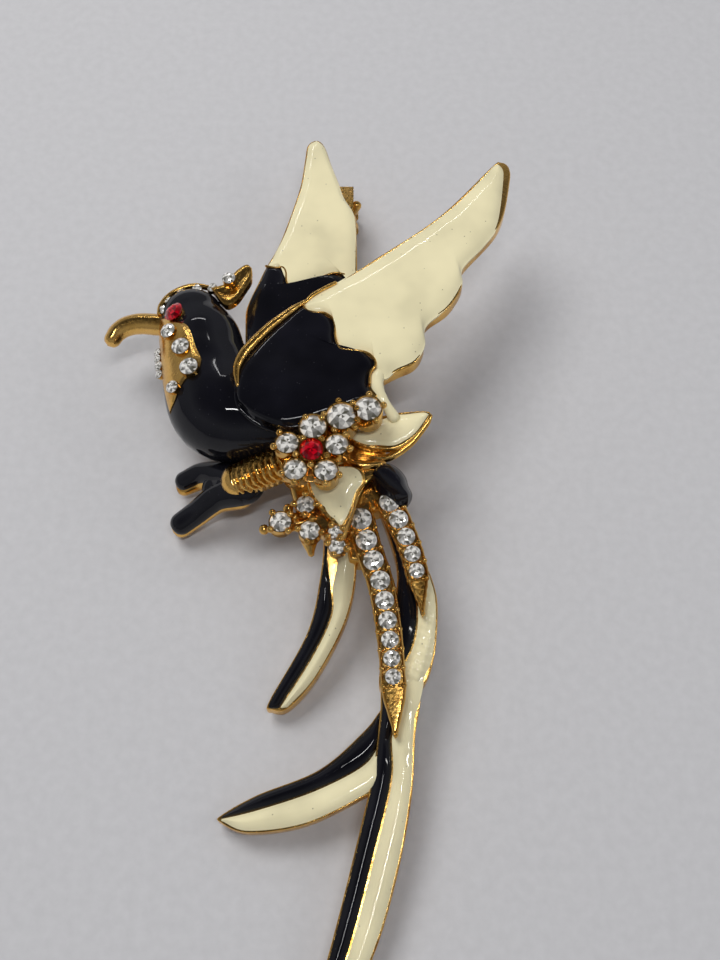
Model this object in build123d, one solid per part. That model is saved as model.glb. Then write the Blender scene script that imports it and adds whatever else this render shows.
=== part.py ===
"""Bird of paradise pin: gold-tone castings, enamel fills, set stones, a hinged pin and a turning catch.

Millimetres. The pin lies on its back: +Z is the face, and +Y runs from the tail tip to the wing tips.
The origin is the middle of the outer size in X and Y, at the lowest point.
"""
from build123d import *
import os
from math import atan2, ceil, cos, degrees, hypot, pi, radians, sin, sqrt

# Overall size: the outlines below are drawn on a grid of this width and length.
WIDTH = 47.0
LENGTH = 108.0
GRID_WIDTH = 47.0
GRID_LENGTH = 108.0

# Castings and enamel
BACK_Z = 6.2            # back of the castings, where the fittings are soldered
CASTING_WALL = 1.5      # wall of the hollow body
WING_T = 2.0            # thickness of a wing
FEATHER_T = 1.9         # thickness of a tail feather
LEAF_T = 1.4            # thickness of a leaf
ROOT_T = 2.6            # thickness of the plate that joins the tail to the body
RIM = 0.4               # gold edge round an enamel field
CLOISON = 0.35          # gold line between two enamel colours
ENAMEL = 0.7            # depth of enamel
WAIST = 0.97            # radius of a rounded form between its stations, per station radius

# Stones: girdle diameters
FLOWER_STONE_D = 2.5
CENTRE_STONE_D = 2.5
BUD_STONE_D = 2.9
SPRIG_STONE_D = 2.1
SMALL_STONE_D = 1.5
STRAND_STONE_D = 1.8
EYE_STONE_D = 2.0
THROAT_STONE_D = 1.7
EDGE_STONE_D = 1.1
CREST_STONE_D = 1.2
CUP_WALL = 0.4          # gold round a stone
STONE_GAP = 0.15        # least space between two stones
CUP_LIP = 0.16          # height of a cup's lip over the girdle, share of the stone radius
CLAW_COAT = 1.4         # depth of the enamel over the top of the claw
STRAND_STONE_SINK = 0.15  # girdle of a strand stone below the top of its channel
CENTRE_STONE_RISE = 0.2   # centre stone of the flower above its petals
STEM_LET_IN = 0.3         # length of the flower's stem inside the petal cups
CROWN = 0.34            # height of a stone above its girdle, per radius
PAVILION = 0.86         # depth of a stone below its girdle, per radius
TABLE = 0.57            # table radius, per girdle radius
GIRDLE = 0.04           # half the girdle's thickness, per radius
THROAT_LIFT = 0.45      # girdles of the throat stones above the enamel
EYE_LIFT = 0.4          # girdle of the eye above the enamel

# Pin, hinge and catch
PIN_X = 4.7             # the pin lies along Y at this grid X
PIN_Z = 1.6             # height of the pin's axis
PIN_R = 0.4
PIN_TIP_R = 0.14
PIN_TIP = 1.3           # length of the tapered tip
PIN_OVERRUN = 2.9       # tip beyond the catch
HINGE_Y = 8.2           # grid Y of the hinge
CATCH_Y = 46.2          # grid Y of the catch
RUNNING_FIT = 0.05      # radial clearance of a turning fit
PIN_FIT = 0.1           # radial clearance of the pin in the sleeve
SIDE_GAP = 0.1          # clearance beside a turning piece
EYE_R = 1.15
EYE_T = 1.5
EAR_R = 1.3
EAR_T = 0.6
RIVET_R = 0.5
RIVET_HEAD_R = 0.8
RIVET_HEAD_T = 0.3
FITTING_T = 0.7         # thickness of the soldered foot of hinge and catch
HINGE_FOOT_MARGIN = 0.6     # foot beyond the ears, at each side
HINGE_FOOT_REACH = 1.0      # foot beyond the ears, at each end
CATCH_FOOT_W = 4.2
CATCH_FOOT_MARGIN = 0.4     # foot beyond the cheeks, at each end
CATCH_FOOT_SHIFT = 1.1      # foot and neck stand off the axis, clear of the lever
CATCH_NECK_W = 2.0
CATCH_NECK_SHIFT = 0.4
CHEEK_R = 1.6
CHEEK_T = 0.7
CHEEK_GAP = 1.5         # space between the cheeks of the catch
CHEEK_BORE_R = 1.0
CHEEK_SLOT = 1.3
DRUM_R = 1.35
SLEEVE_SLOT = 0.95
LEVER_R = 0.6
LEVER_REACH = 3.5       # catch axis to the middle of the lever's round end
LEVER_ANGLE = 67.0      # degrees above +X when the catch is open

FAR = 200.0             # larger than the object, for cutting tools
DRAW_STEP = 1.5         # spacing of the points along a drawn-in edge


def at(x, y):
    """A point of the drawing grid, in millimetres of the pin."""
    return x * WIDTH / GRID_WIDTH, y * LENGTH / GRID_LENGTH


# ---------------------------------------------------------------- helpers


class Sheet:
    """A flat piece's plane: a pivot on its back face, tipped about X or about Y."""

    def __init__(self, x, y, z, tip_x=0.0, tip_y=0.0):
        self.x, self.y = at(x, y)
        self.z = z
        self.tip_x = tip_x
        self.tip_y = tip_y

    def local(self, point):
        x, y = at(*point)
        return (x - self.x) / cos(radians(self.tip_y)), (y - self.y) / cos(radians(self.tip_x))

    def place(self, shape):
        return Location((self.x, self.y, self.z), (self.tip_x, self.tip_y, 0)) * shape

    def height(self, x, y):
        """Z of the back face above a grid point."""
        px, py = at(x, y)
        slope_y = sin(radians(self.tip_x)) / cos(radians(self.tip_x))
        slope_x = -sin(radians(self.tip_y)) / cos(radians(self.tip_y))
        return self.z + (py - self.y) * slope_y + (px - self.x) * slope_x


def closed_face(sheet, runs):
    """A face from smooth runs of points; each run starts where the last one ended."""
    edges = []
    closing = runs[:-1] + [runs[-1] + [runs[0][0]]]
    for run in closing:
        points = [sheet.local(point) for point in run]
        if len(points) == 2:
            edges.append(Line(*points))
        else:
            edges.append(Spline(*points))
    return make_face(edges)


def largest(shape):
    """The main solid of a cut piece, without crumbs."""
    return max(shape.solids(), key=lambda solid: solid.volume)


def cut(shape, *tools):
    """The main solid that is left of a shape after cutting the tools away."""
    for tool in tools:
        shape = shape - tool
    return largest(shape)


def drawn_in(face, rim):
    """A face made smaller by a rim all round, with plain splines for edges."""
    wire = offset(face, amount=-rim).wires()[0]
    runs = []
    for edge in wire.order_edges():
        steps = max(2, ceil(edge.length / DRAW_STEP))
        runs.append([edge @ (index / steps) for index in range(steps + 1)])
    if (runs[0][0] - runs[1][0]).length < (runs[0][-1] - runs[1][0]).length:
        runs[0].reverse()
    for before, run in zip(runs, runs[1:]):
        if (before[-1] - run[-1]).length < (before[-1] - run[0]).length:
            run.reverse()
        run[0] = before[-1]
    runs[-1][-1] = runs[0][0]
    return make_face([Spline(*run) for run in runs])


def enamelled(sheet, runs, thickness, divider=None):
    """A gold tray with a recess, and the enamel that fills the recess, from left to right."""
    face = closed_face(sheet, runs)
    field = drawn_in(face, RIM)
    fill = Pos(0, 0, thickness - ENAMEL) * extrude(field, ENAMEL)
    if divider:
        line = Spline(*[sheet.local(point) for point in divider])
        fill = fill - Pos(0, 0, thickness - ENAMEL) * extrude(trace(line, CLOISON), ENAMEL)
    tray = largest(extrude(face, thickness) - fill)
    pieces = sorted(fill.solids(), key=lambda solid: -solid.volume)
    pieces = pieces[:2] if divider else pieces[:1]
    pieces.sort(key=lambda solid: solid.center().X)
    return sheet.place(tray), [sheet.place(piece) for piece in pieces]


def rounded_chain(stations, inset=0.0):
    """Balls at the stations (x, y, z, radius), joined by cones."""
    balls = []
    for x, y, z, radius in stations:
        balls.append((*at(x, y), z, radius - inset))
    first, *rest = [Pos(*ball[:3]) * Sphere(ball[3]) for ball in balls]
    for start, end in zip(balls, balls[1:]):
        along = Vector(*end[:3]) - Vector(*start[:3])
        plane = Plane(origin=start[:3], z_dir=along)
        radii = start[3] * WAIST, end[3] * WAIST
        rest.append(plane * Cone(*radii, along.length, align=(Align.CENTER, Align.CENTER, Align.MIN)))
    return first + rest


def lofted(stations):
    """A smooth horn through round sections at the stations (x, y, z, radius)."""
    spots = [Vector(*at(x, y), z) for x, y, z, _ in stations]
    sections = []
    for index, station in enumerate(stations):
        before = spots[max(index - 1, 0)]
        after = spots[min(index + 1, len(spots) - 1)]
        plane = Plane(origin=spots[index], x_dir=(0, 0, 1), z_dir=after - before)
        sections.append(plane * Circle(station[3]))
    return loft(sections)


def above_back(shape):
    """The part of a shape above the back plane of the castings."""
    block = Box(FAR, FAR, FAR, align=(Align.CENTER, Align.CENTER, Align.MAX))
    return shape - Pos(0, 0, BACK_Z) * block


def stone(diameter):
    """A round brilliant, with its girdle at the origin."""
    radius = diameter / 2
    profile = Polyline(
        (0, -PAVILION * radius),
        (radius, -GIRDLE * radius),
        (radius, GIRDLE * radius),
        (TABLE * radius, CROWN * radius),
        (0, CROWN * radius),
        close=True,
    )
    return revolve(Plane.XZ * make_face(profile), Axis.Z)


def seat(diameter):
    """The space a stone takes in its setting, open above the girdle."""
    radius = diameter / 2
    opening = Cylinder(radius, 2 * radius, align=(Align.CENTER, Align.CENTER, Align.MIN))
    return stone(diameter) + opening


def cup(diameter, depth):
    """A round setting from a depth below the girdle to just above it."""
    radius = diameter / 2
    lip = CUP_LIP * radius
    body = Cylinder(radius + CUP_WALL, depth + lip, align=(Align.CENTER, Align.CENTER, Align.MIN))
    return Pos(0, 0, -depth) * body


def joined(shapes):
    """All the shapes as one."""
    total = shapes[0]
    for shape in shapes[1:]:
        total = total + shape
    return total


def column(x, y, z, radius, height):
    """An upright cylinder that stands at z."""
    return Pos(x, y, z) * Cylinder(radius, height, align=(Align.CENTER, Align.CENTER, Align.MIN))


def export(name, shape):
    shape.label = name
    export_step(shape, "parts/" + name + ".step")


# ---------------------------------------------------------------- body, head and throat

BODY_Z = 8.2
BODY_STATIONS = [
    (-12.6, 27.4, BODY_Z - 0.2, 4.1),
    (-11.6, 24.4, BODY_Z, 4.5),
    (-10.9, 20.4, BODY_Z, 4.9),
    (-8.6, 15.4, BODY_Z, 5.8),
    (-3.4, 14.8, BODY_Z, 5.2),
    (1.6, 14.8, BODY_Z, 4.6),
]
BEAK_STATIONS = [
    (-14.4, 26.6, 8.2, 1.35), (-16.4, 26.6, 8.1, 1.25), (-18.6, 26.8, 8.0, 1.15), (-20.2, 26.6, 7.8, 1.07),
    (-21.4, 26.1, 7.6, 0.99), (-22.05, 25.3, 7.45, 0.86), (-22.1, 24.6, 7.4, 0.45),
]
THROAT_OUTLINE = [
    [(-14.4, 28.6), (-18.0, 28.4)],
    [(-18.0, 28.4), (-17.6, 20.0), (-15.4, 13.6)],
    [(-15.4, 13.6), (-13.9, 14.8), (-13.3, 17.4), (-12.4, 18.8), (-11.2, 19.6)],
    [(-11.2, 19.6), (-11.1, 20.7), (-12.0, 21.7), (-12.5, 23.4), (-13.2, 25.1), (-14.0, 26.2)],
]
THROAT_STONES = [(-15.0, 24.3), (-13.3, 22.0), (-12.4, 19.8), (-14.0, 17.2)]
EDGE_STONES = [(-15.9, 23.0), (-15.5, 21.3), (-15.3, 19.4)]
EYE = (-14.0, 25.8)
CREST_OUTLINE = [
    [(-16.8, 27.4), (-15.2, 29.5), (-12.4, 31.7), (-9.4, 32.1), (-6.4, 34.1)],
    [(-6.4, 34.1), (-6.4, 31.6), (-8.0, 29.0), (-9.0, 28.2)],
    [(-9.0, 28.2), (-10.8, 30.0), (-12.8, 29.9), (-14.4, 28.5), (-15.8, 26.6)],
]
CREST_STONES = [(-15.8, 27.9), (-14.8, 29.1), (-13.5, 30.2), (-12.0, 30.9), (-10.4, 31.0), (-8.4, 31.9)]
CREST_Z = 9.0
CREST_T = 1.9
CREST_SINK = 0.1        # girdle below the crest's face


def body_surface(x, y):
    """The top of the body form above a grid point, and the outward direction there."""
    px, py = at(x, y)
    best = None
    steps = 24
    for start, end in zip(BODY_STATIONS, BODY_STATIONS[1:]):
        for index in range(steps + 1):
            share = index / steps
            middle = [a + (b - a) * share for a, b in zip(start, end)]
            cx, cy = at(middle[0], middle[1])
            reach = hypot(px - cx, py - cy)
            if reach < middle[3]:
                top = middle[2] + sqrt(middle[3] ** 2 - reach ** 2)
                if best is None or top > best[0]:
                    best = (top, Vector(px - cx, py - cy, top - middle[2]))
    return Vector(px, py, best[0]), best[1].normalized()


def on_body(x, y, lift, shape):
    """Stand a shape on the body form, a lift above its surface."""
    point, outward = body_surface(x, y)
    return Plane(origin=point + outward * lift, z_dir=outward) * shape


def make_body():
    """Hollow gold casting, black enamel coat, throat plate and their stones."""
    outside = above_back(rounded_chain(BODY_STATIONS))
    core = above_back(rounded_chain(BODY_STATIONS, ENAMEL))
    hollow = rounded_chain(BODY_STATIONS, ENAMEL + CASTING_WALL)
    coat = outside - core
    flat = Sheet(0, 0, 0)
    patch = coat & extrude(closed_face(flat, THROAT_OUTLINE), FAR)
    throat = patch
    throat_stones = []
    placed = [(spot, THROAT_STONE_D) for spot in THROAT_STONES]
    placed += [(spot, EDGE_STONE_D) for spot in EDGE_STONES]
    for (x, y), diameter in placed:
        throat = throat + on_body(x, y, THROAT_LIFT, cup(diameter, THROAT_LIFT + ENAMEL / 2))
    for (x, y), diameter in placed:
        throat = throat - on_body(x, y, THROAT_LIFT, seat(diameter))
        throat_stones.append(on_body(x, y, THROAT_LIFT, stone(diameter)))
    eye_cup = on_body(*EYE, EYE_LIFT, cup(EYE_STONE_D, EYE_LIFT + ENAMEL / 2))
    eye_setting = largest(eye_cup - on_body(*EYE, EYE_LIFT, seat(EYE_STONE_D)))
    eye_stone = on_body(*EYE, EYE_LIFT, stone(EYE_STONE_D))
    throat = largest(throat - core)
    eye_setting = cut(eye_setting, core, throat, *throat_stones)
    crest_seats = crest_stones()
    throat = cut(throat, eye_stone, *crest_seats)
    coat = cut(coat, throat, eye_setting, eye_stone, *throat_stones, *crest_seats)
    core = cut(core - hollow, eye_stone, *throat_stones)
    return {
        "body_shell": core,
        "body_enamel": coat,
        "throat_plate": throat,
        "throat_stones": Compound(children=throat_stones),
        "eye_setting": eye_setting,
        "eye_stone": eye_stone,
    }, outside


def make_beak(outside):
    """Curved gold beak, rounded at the tip."""
    return cut(lofted(BEAK_STATIONS), outside)


def crest_stones():
    """The stones along the crest."""
    girdle_z = CREST_Z + CREST_T - CREST_SINK
    return [Pos(*at(x, y), girdle_z) * stone(CREST_STONE_D) for x, y in CREST_STONES]


def make_crest(outside, beak):
    """Leaf-shaped crest along the head, with the seats for its row of stones."""
    flat = Sheet(0, 0, CREST_Z)
    plate = flat.place(extrude(closed_face(flat, CREST_OUTLINE), CREST_T))
    girdle_z = CREST_Z + CREST_T - CREST_SINK
    for x, y in CREST_STONES:
        plate = plate - Pos(*at(x, y), girdle_z) * seat(CREST_STONE_D)
    return cut(plate, outside, beak)


# ---------------------------------------------------------------- wings

NEAR_WING_Z = 12.6
NEAR_WING = [
    [(-6.8, 15.2), (-6.5, 18.1), (-4.8, 20.7), (-0.3, 25.0), (8.0, 31.4), (15.7, 37.7), (22.2, 44.9)],
    [(22.2, 44.9), (23.3, 44.6), (23.4, 42.6), (22.3, 36.2), (17.9, 30.3)],
    [(17.9, 30.3), (17.8, 27.9), (16.2, 25.0), (13.6, 22.7)],
    [(13.6, 22.7), (13.4, 20.0), (12.4, 18.0), (10.4, 16.9)],
    [(10.4, 16.9), (8.9, 15.9), (8.7, 14.4), (9.2, 12.9)],
    [(9.2, 12.9), (6.8, 13.0), (3.4, 11.5), (-0.8, 10.2), (-4.4, 11.5), (-6.4, 13.2)],
]
NEAR_DIVIDER = [
    (2.2, 29.6), (0.6, 26.0), (1.6, 24.2), (3.5, 23.5), (3.9, 21.0),
    (5.6, 19.6), (7.9, 18.4), (8.0, 16.2), (9.9, 13.6), (10.2, 12.4),
]
FAR_WING = [
    [(-5.2, 17.6), (-6.6, 27.0), (-5.8, 31.6), (-3.3, 37.3), (-0.7, 46.6), (0.0, 53.2), (1.1, 54.0)],
    [(1.1, 54.0), (2.1, 53.0), (3.0, 50.0), (3.9, 47.3), (4.6, 45.0)],
    [(4.6, 45.0), (5.9, 42.2), (6.1, 38.0), (6.2, 30.0), (6.0, 17.6)],
    [(6.0, 17.6)],
]
FAR_DIVIDER = [
    (-6.0, 34.4), (-3.0, 34.1), (-2.0, 33.2), (-2.0, 31.7),
    (-0.6, 31.3), (2.1, 32.6), (4.2, 32.3), (8.0, 33.4),
]
RIDGE = [(-6.5, 13.6), (-6.5, 17.8), (-4.2, 21.2), (-0.3, 24.9), (3.6, 27.9)]
RIDGE_W = 0.8
RIDGE_H = 0.9


def make_near_wing(outside, spray):
    """Front wing: gold tray with a black root, a cream blade and a raised gold ridge."""
    sheet = Sheet(0, 0, NEAR_WING_Z)
    tray, (black, cream) = enamelled(sheet, NEAR_WING, WING_T, NEAR_DIVIDER)
    line = Spline(*[sheet.local(point) for point in RIDGE])
    top = Pos(0, 0, NEAR_WING_Z + WING_T)
    ridge = largest(top * extrude(trace(line, RIDGE_W), RIDGE_H))
    return {
        "near_wing": cut(tray, outside, spray),
        "near_wing_black_enamel": cut(black, outside, spray),
        "near_wing_cream_enamel": cut(cream, outside, spray),
        "near_wing_ridge": cut(ridge, spray),
    }


def make_far_wing(outside):
    """Rear wing: gold tray with a black root and a cream blade. The catch stands on its back."""
    sheet = Sheet(0, 0, BACK_Z)
    tray, fills = enamelled(sheet, FAR_WING, WING_T, FAR_DIVIDER)
    fills.sort(key=lambda solid: solid.center().Y)
    return {
        "far_wing": cut(tray, outside),
        "far_wing_black_enamel": cut(fills[0], outside),
        "far_wing_cream_enamel": cut(fills[1], outside),
    }


# ---------------------------------------------------------------- leg, claw and far foot

LEG_STATIONS = [(-1.6, 8.8, 8.8, 2.1), (-4.6, 7.9, 7.8, 2.0), (-7.6, 7.0, 6.2, 2.1)]
UPPER_TOE = [(-7.4, 7.8, 5.9, 1.5), (-10.8, 9.6, 3.7, 1.35), (-13.1, 9.4, 1.5, 1.25)]
LOWER_TOE = [(-7.4, 6.4, 5.7, 1.5), (-10.8, 5.5, 3.5, 1.35), (-13.3, 3.7, 1.3, 1.25)]
FAR_FOOT = [
    [(7.6, 5.8), (8.3, 7.2), (9.5, 7.6), (11.2, 6.4), (11.9, 4.3)],
    [(11.9, 4.3), (11.2, 2.9), (9.4, 3.3)],
]
FAR_FOOT_Z = 10.7
FAR_FOOT_T = 0.7
FAR_FOOT_DOME = 1.3     # height of the enamel on the far foot
FAR_FOOT_POST = (9.0, 6.2)
CUFF_BANDS = 6
CUFF_GROOVE = 0.2


def make_leg(outside, root, spray_base):
    """Banded gold leg between the body and the claw."""
    leg = rounded_chain(LEG_STATIONS)
    start = Vector(*at(*LEG_STATIONS[0][:2]), LEG_STATIONS[0][2])
    end = Vector(*at(*LEG_STATIONS[-1][:2]), LEG_STATIONS[-1][2])
    along = end - start
    radius = LEG_STATIONS[0][3]
    for band in range(CUFF_BANDS):
        middle = start + along * ((band + 1.5) / (CUFF_BANDS + 1))
        groove = Torus(radius + CUFF_GROOVE, 2 * CUFF_GROOVE)
        leg = leg - Plane(origin=middle, z_dir=along) * groove
    return cut(leg, outside, root, spray_base)


def make_claw(leg):
    """Two toes: gold beneath, with black enamel over the top."""
    form = rounded_chain(UPPER_TOE) + rounded_chain(LOWER_TOE)
    under = form & (Pos(0, 0, -CLAW_COAT) * form)
    coat = form - under
    return cut(under, leg), cut(coat, leg)


def make_far_foot(spray_base):
    """Rounded black foot on the far side, on a gold plate with a post to the tail root."""
    sheet = Sheet(0, 0, FAR_FOOT_Z)
    face = closed_face(sheet, FAR_FOOT)
    root_top = BACK_Z + ROOT_T
    plate = sheet.place(extrude(face, FAR_FOOT_T))
    plate = plate + column(*at(*FAR_FOOT_POST), root_top, POST_R, FAR_FOOT_Z - root_top)
    dome = Pos(0, 0, FAR_FOOT_T) * extrude(face, FAR_FOOT_DOME)
    return cut(plate, spray_base), cut(sheet.place(dome), spray_base)


# ---------------------------------------------------------------- tail

TAIL_ROOT = [
    [(-3.6, 11.6), (-2.6, 7.0), (-0.4, 3.6), (1.4, -1.6)],
    [(1.4, -1.6), (3.6, -2.6), (6.2, -2.4), (7.4, -0.8)],
    [(7.4, -0.8), (7.2, 1.6), (7.9, 3.0), (9.3, 3.4)],
    [(9.3, 3.4), (11.0, 3.2), (10.6, 5.4), (9.2, 9.0), (8.4, 14.0)],
    [(8.4, 14.0)],
]
TAIL_SLOPE = 6.8
MAIN_FEATHER = [
    [(8.6, -15.6), (8.5, -18.0), (7.7, -23.8), (6.2, -30.0), (3.5, -40.1), (0.6, -49.0), (-2.0, -54.3)],
    [(-2.0, -54.3), (2.9, -49.0), (7.8, -40.1), (10.2, -32.6), (11.6, -25.6), (12.0, -20.1), (12.4, -15.6)],
    [(12.4, -15.6)],
]
MAIN_DIVIDER = [
    (10.8, -14.4), (10.4, -17.5), (9.6, -20.1), (9.6, -24.1),
    (8.0, -30.6), (5.3, -40.1), (2.2, -47.8), (-2.0, -55.0),
]
RIGHT_FEATHER = [
    [(8.4, 3.8), (9.5, 0.6), (10.3, -2.6), (10.2, -5.6), (9.1, -10.5), (8.6, -15.4)],
    [(8.6, -15.4), (12.4, -15.4)],
    [(12.4, -15.4), (14.0, -12.4), (14.5, -7.4), (14.1, -4.4), (12.6, -0.6), (10.8, 3.8)],
    [(10.8, 3.8)],
]
RIGHT_DIVIDER = [(9.4, 4.8), (10.9, 0.4), (11.7, -4.1), (12.5, -8.4), (12.0, -13.1), (11.0, -16.4)]
LOWER_FEATHER = [
    [(8.6, -17.0), (6.8, -19.4), (2.4, -23.0), (-3.8, -25.3), (-7.4, -27.0)],
    [(-7.4, -27.0), (-6.9, -28.3), (-4.6, -28.9), (1.1, -28.3), (6.8, -25.8), (8.6, -24.4)],
    [(8.6, -24.4)],
]
LOWER_DIVIDER = [(9.0, -19.6), (6.8, -22.7), (2.0, -25.0), (-3.7, -26.7), (-8.4, -27.2)]
LOWER_TIP = 9.5
SHORT_FEATHER = [
    [(2.7, 0.4), (2.4, -3.3), (1.0, -9.1), (-2.9, -15.7), (-2.6, -16.6)],
    [(-2.6, -16.6), (-0.8, -16.4)],
    [(-0.8, -16.4), (2.0, -13.4), (5.0, -8.1), (6.1, -3.3), (5.6, 0.4)],
    [(5.6, 0.4)],
]
SHORT_DIVIDER = [(3.2, 1.4), (3.5, -3.0), (3.5, -7.5), (1.5, -11.5), (-1.9, -17.4)]
SHORT_SLOPE = 19.8
LONG_STRAND = [(6.2, 3.4), (7.2, -0.7), (8.7, -5.3), (9.5, -10.6), (9.9, -16.3), (10.0, -20.3)]
SHORT_STRAND = [(9.2, 4.4), (10.7, 1.3), (12.0, -2.3), (12.6, -5.6), (12.9, -8.2)]
STRAND_W = 2.5
STRAND_T = 1.6
STRAND_TAPER = 3.6      # unset point at the end of a strand


def make_tail_root(outside):
    """Thick plate under the flower that joins the body, the feathers and the far foot."""
    flat = Sheet(0, 0, BACK_Z)
    return cut(flat.place(extrude(closed_face(flat, TAIL_ROOT), ROOT_T)), outside)


def make_feather(name, sheet, runs, divider, blockers):
    """One tail feather: gold tray, black left side and cream right side."""
    tray, (black, cream) = enamelled(sheet, runs, FEATHER_T, divider)
    return {
        name: cut(tray, *blockers),
        name + "_black_enamel": cut(black, *blockers),
        name + "_cream_enamel": cut(cream, *blockers),
    }


def make_strand(sheet, points, blockers):
    """A gold channel that tapers to a point, with a row of equal stones."""
    path = Spline(*[sheet.local(point) for point in points])
    taper_start = 1 - STRAND_TAPER / path.length
    steps = 12
    left = []
    right = []
    for index in range(steps):
        share = index / steps
        half = STRAND_W / 2 * min(1.0, (1 - share) / (1 - taper_start))
        middle = path @ share
        side = (path % share).rotate(Axis.Z, 90) * half
        left.append(middle + side)
        right.append(middle - side)
    end = path @ 1
    face = make_face([Spline(*left, end), Spline(end, *reversed(right)), Line(right[0], left[0])])
    channel = extrude(face, STRAND_T)
    pitch = STRAND_STONE_D + STONE_GAP
    count = int((path.length - STRAND_TAPER) / pitch)
    girdle_z = STRAND_T - STRAND_STONE_SINK
    stones = []
    for index in range(count):
        middle = path @ ((index + 0.5) * pitch / path.length)
        channel = channel - Pos(middle.X, middle.Y, girdle_z) * seat(STRAND_STONE_D)
        stones.append(Pos(middle.X, middle.Y, girdle_z) * stone(STRAND_STONE_D))
    placed = [sheet.place(item) for item in stones]
    return cut(sheet.place(channel), *blockers), placed


# ---------------------------------------------------------------- flower spray

SPRAY_Z = 10.4
SPRAY_T = 0.9
SPRAY_TOP = SPRAY_Z + SPRAY_T
SPRAY_BASE = [
    [(-2.9, 1.2), (-1.9, -0.9), (1.0, -1.8), (4.4, -3.2)],
    [(4.4, -3.2), (5.2, -2.0), (4.8, 0.4), (7.4, 4.4), (10.0, 9.0), (10.4, 11.0)],
    [(10.4, 11.0), (8.6, 12.3), (5.0, 11.6), (1.4, 10.9), (-1.6, 8.9), (-2.2, 6.6), (-0.6, 3.6)],
]
SPRAY_POSTS = [(1.4, 6.2), (7.2, 9.8), (2.6, 0.6)]
POST_R = 1.1
FLOWER = (1.6, 6.5)
FLOWER_TURN = 88.0
PETALS = 5
FLOWER_GIRDLE_Z = 16.3
FLOWER_CUP = 1.9
FLOWER_STEM_R = 1.5
BUDS = [(4.6, 10.3), (7.4, 11.2)]
BUD_GIRDLE_Z = 15.8
SPRIG_STONES = [(0.9, 2.4), (-1.6, 0.6), (1.4, -0.3)]
SMALL_STONES = [(3.7, -0.6), (4.2, -2.3)]
SPRIG_GIRDLE_Z = SPRAY_TOP + 1.2
SPRIG_BALLS = [(-3.3, 0.2), (-0.9, 2.2), (-0.1, -1.2), (1.3, -2.4)]
BALL_R = 0.55
TWIG_W = 0.9            # bars between the sprig's cups
TWIG_T = 0.6
WEB_T = 0.7             # disc under the petals
UPPER_LEAF = [
    [(5.6, 9.6), (8.6, 11.6), (11.2, 12.5), (13.5, 12.7)],
    [(13.5, 12.7), (14.1, 11.9), (12.8, 10.2), (10.1, 8.5), (7.4, 8.7)],
]
LOWER_LEAF = [
    [(1.0, 5.3), (1.3, 3.6), (2.3, 1.8), (4.5, -0.4)],
    [(4.5, -0.4), (5.6, 1.5), (6.3, 3.9), (7.2, 4.8), (6.4, 6.1), (4.0, 6.5)],
]


def flower_spots():
    """Centres of the petal stones round the centre stone, in millimetres of the pin."""
    beside_centre = (FLOWER_STONE_D + CENTRE_STONE_D) / 2 + STONE_GAP
    beside_petal = (FLOWER_STONE_D + STONE_GAP) / (2 * sin(pi / PETALS))
    pitch = max(beside_centre, beside_petal)
    cx, cy = at(*FLOWER)
    spots = []
    for index in range(PETALS):
        turn = radians(FLOWER_TURN + 360 / PETALS * index)
        spots.append((cx + pitch * cos(turn), cy + pitch * sin(turn)))
    return spots


def set_stones(spots, diameter, girdle_z, depth):
    """Cups with their seats cut, and the stones in them. Spots are in millimetres of the pin."""
    cups = joined([Pos(x, y, girdle_z) * cup(diameter, depth) for x, y in spots])
    seats = [Pos(x, y, girdle_z) * seat(diameter) for x, y in spots]
    stones = [Pos(x, y, girdle_z) * stone(diameter) for x, y in spots]
    return cups, seats, stones


def make_flower():
    """Five petal stones round a red stone, on a stem that stands on the spray."""
    spots = flower_spots()
    middle = at(*FLOWER)
    cups, seats, stones = set_stones(spots, FLOWER_STONE_D, FLOWER_GIRDLE_Z, FLOWER_CUP)
    centre_z = FLOWER_GIRDLE_Z + CENTRE_STONE_RISE
    centre_cup, centre_seat, centre = set_stones([middle], CENTRE_STONE_D, centre_z, FLOWER_CUP)
    pitch = hypot(spots[0][0] - middle[0], spots[0][1] - middle[1])
    floor_z = FLOWER_GIRDLE_Z - FLOWER_CUP
    web = column(*middle, floor_z, pitch, WEB_T)
    stem = column(*middle, SPRAY_TOP, FLOWER_STEM_R, floor_z - SPRAY_TOP + STEM_LET_IN)
    setting = cups + centre_cup + web + stem
    for space in seats + centre_seat:
        setting = setting - space
    return largest(setting), stones, centre[0]


def make_buds(flower):
    """Two large stones in tall cups that stand on the spray."""
    spots = [at(*spot) for spot in BUDS]
    cups, seats, stones = set_stones(spots, BUD_STONE_D, BUD_GIRDLE_Z, BUD_GIRDLE_Z - SPRAY_TOP)
    for space in seats:
        cups = cups - space
    return cut(cups, flower, *stones), stones


def make_sprig():
    """Low cups with three stones and two small ones, and little gold balls at the ends."""
    depth = SPRIG_GIRDLE_Z - SPRAY_TOP
    large = set_stones([at(*spot) for spot in SPRIG_STONES], SPRIG_STONE_D, SPRIG_GIRDLE_Z, depth)
    small = set_stones([at(*spot) for spot in SMALL_STONES], SMALL_STONE_D, SPRIG_GIRDLE_Z, depth)
    setting = large[0] + small[0]
    first = at(*SPRIG_STONES[0])
    for spot in SPRIG_STONES[1:] + SMALL_STONES + SPRIG_BALLS:
        setting = setting + bridge(first, at(*spot), SPRAY_TOP, TWIG_W, TWIG_T)
    for spot in SPRIG_BALLS:
        setting = setting + Pos(*at(*spot), SPRAY_TOP + BALL_R) * Sphere(BALL_R)
    for space in large[1] + small[1]:
        setting = setting - space
    return largest(setting), large[2] + small[2]


def bridge(start, end, z, width, height):
    """A straight bar between two points."""
    run = hypot(end[0] - start[0], end[1] - start[1])
    turn = degrees(atan2(end[1] - start[1], end[0] - start[0]))
    bar = Box(run, width, height, align=(Align.MIN, Align.CENTER, Align.MIN))
    return Location((start[0], start[1], z), (0, 0, turn)) * bar


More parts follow.
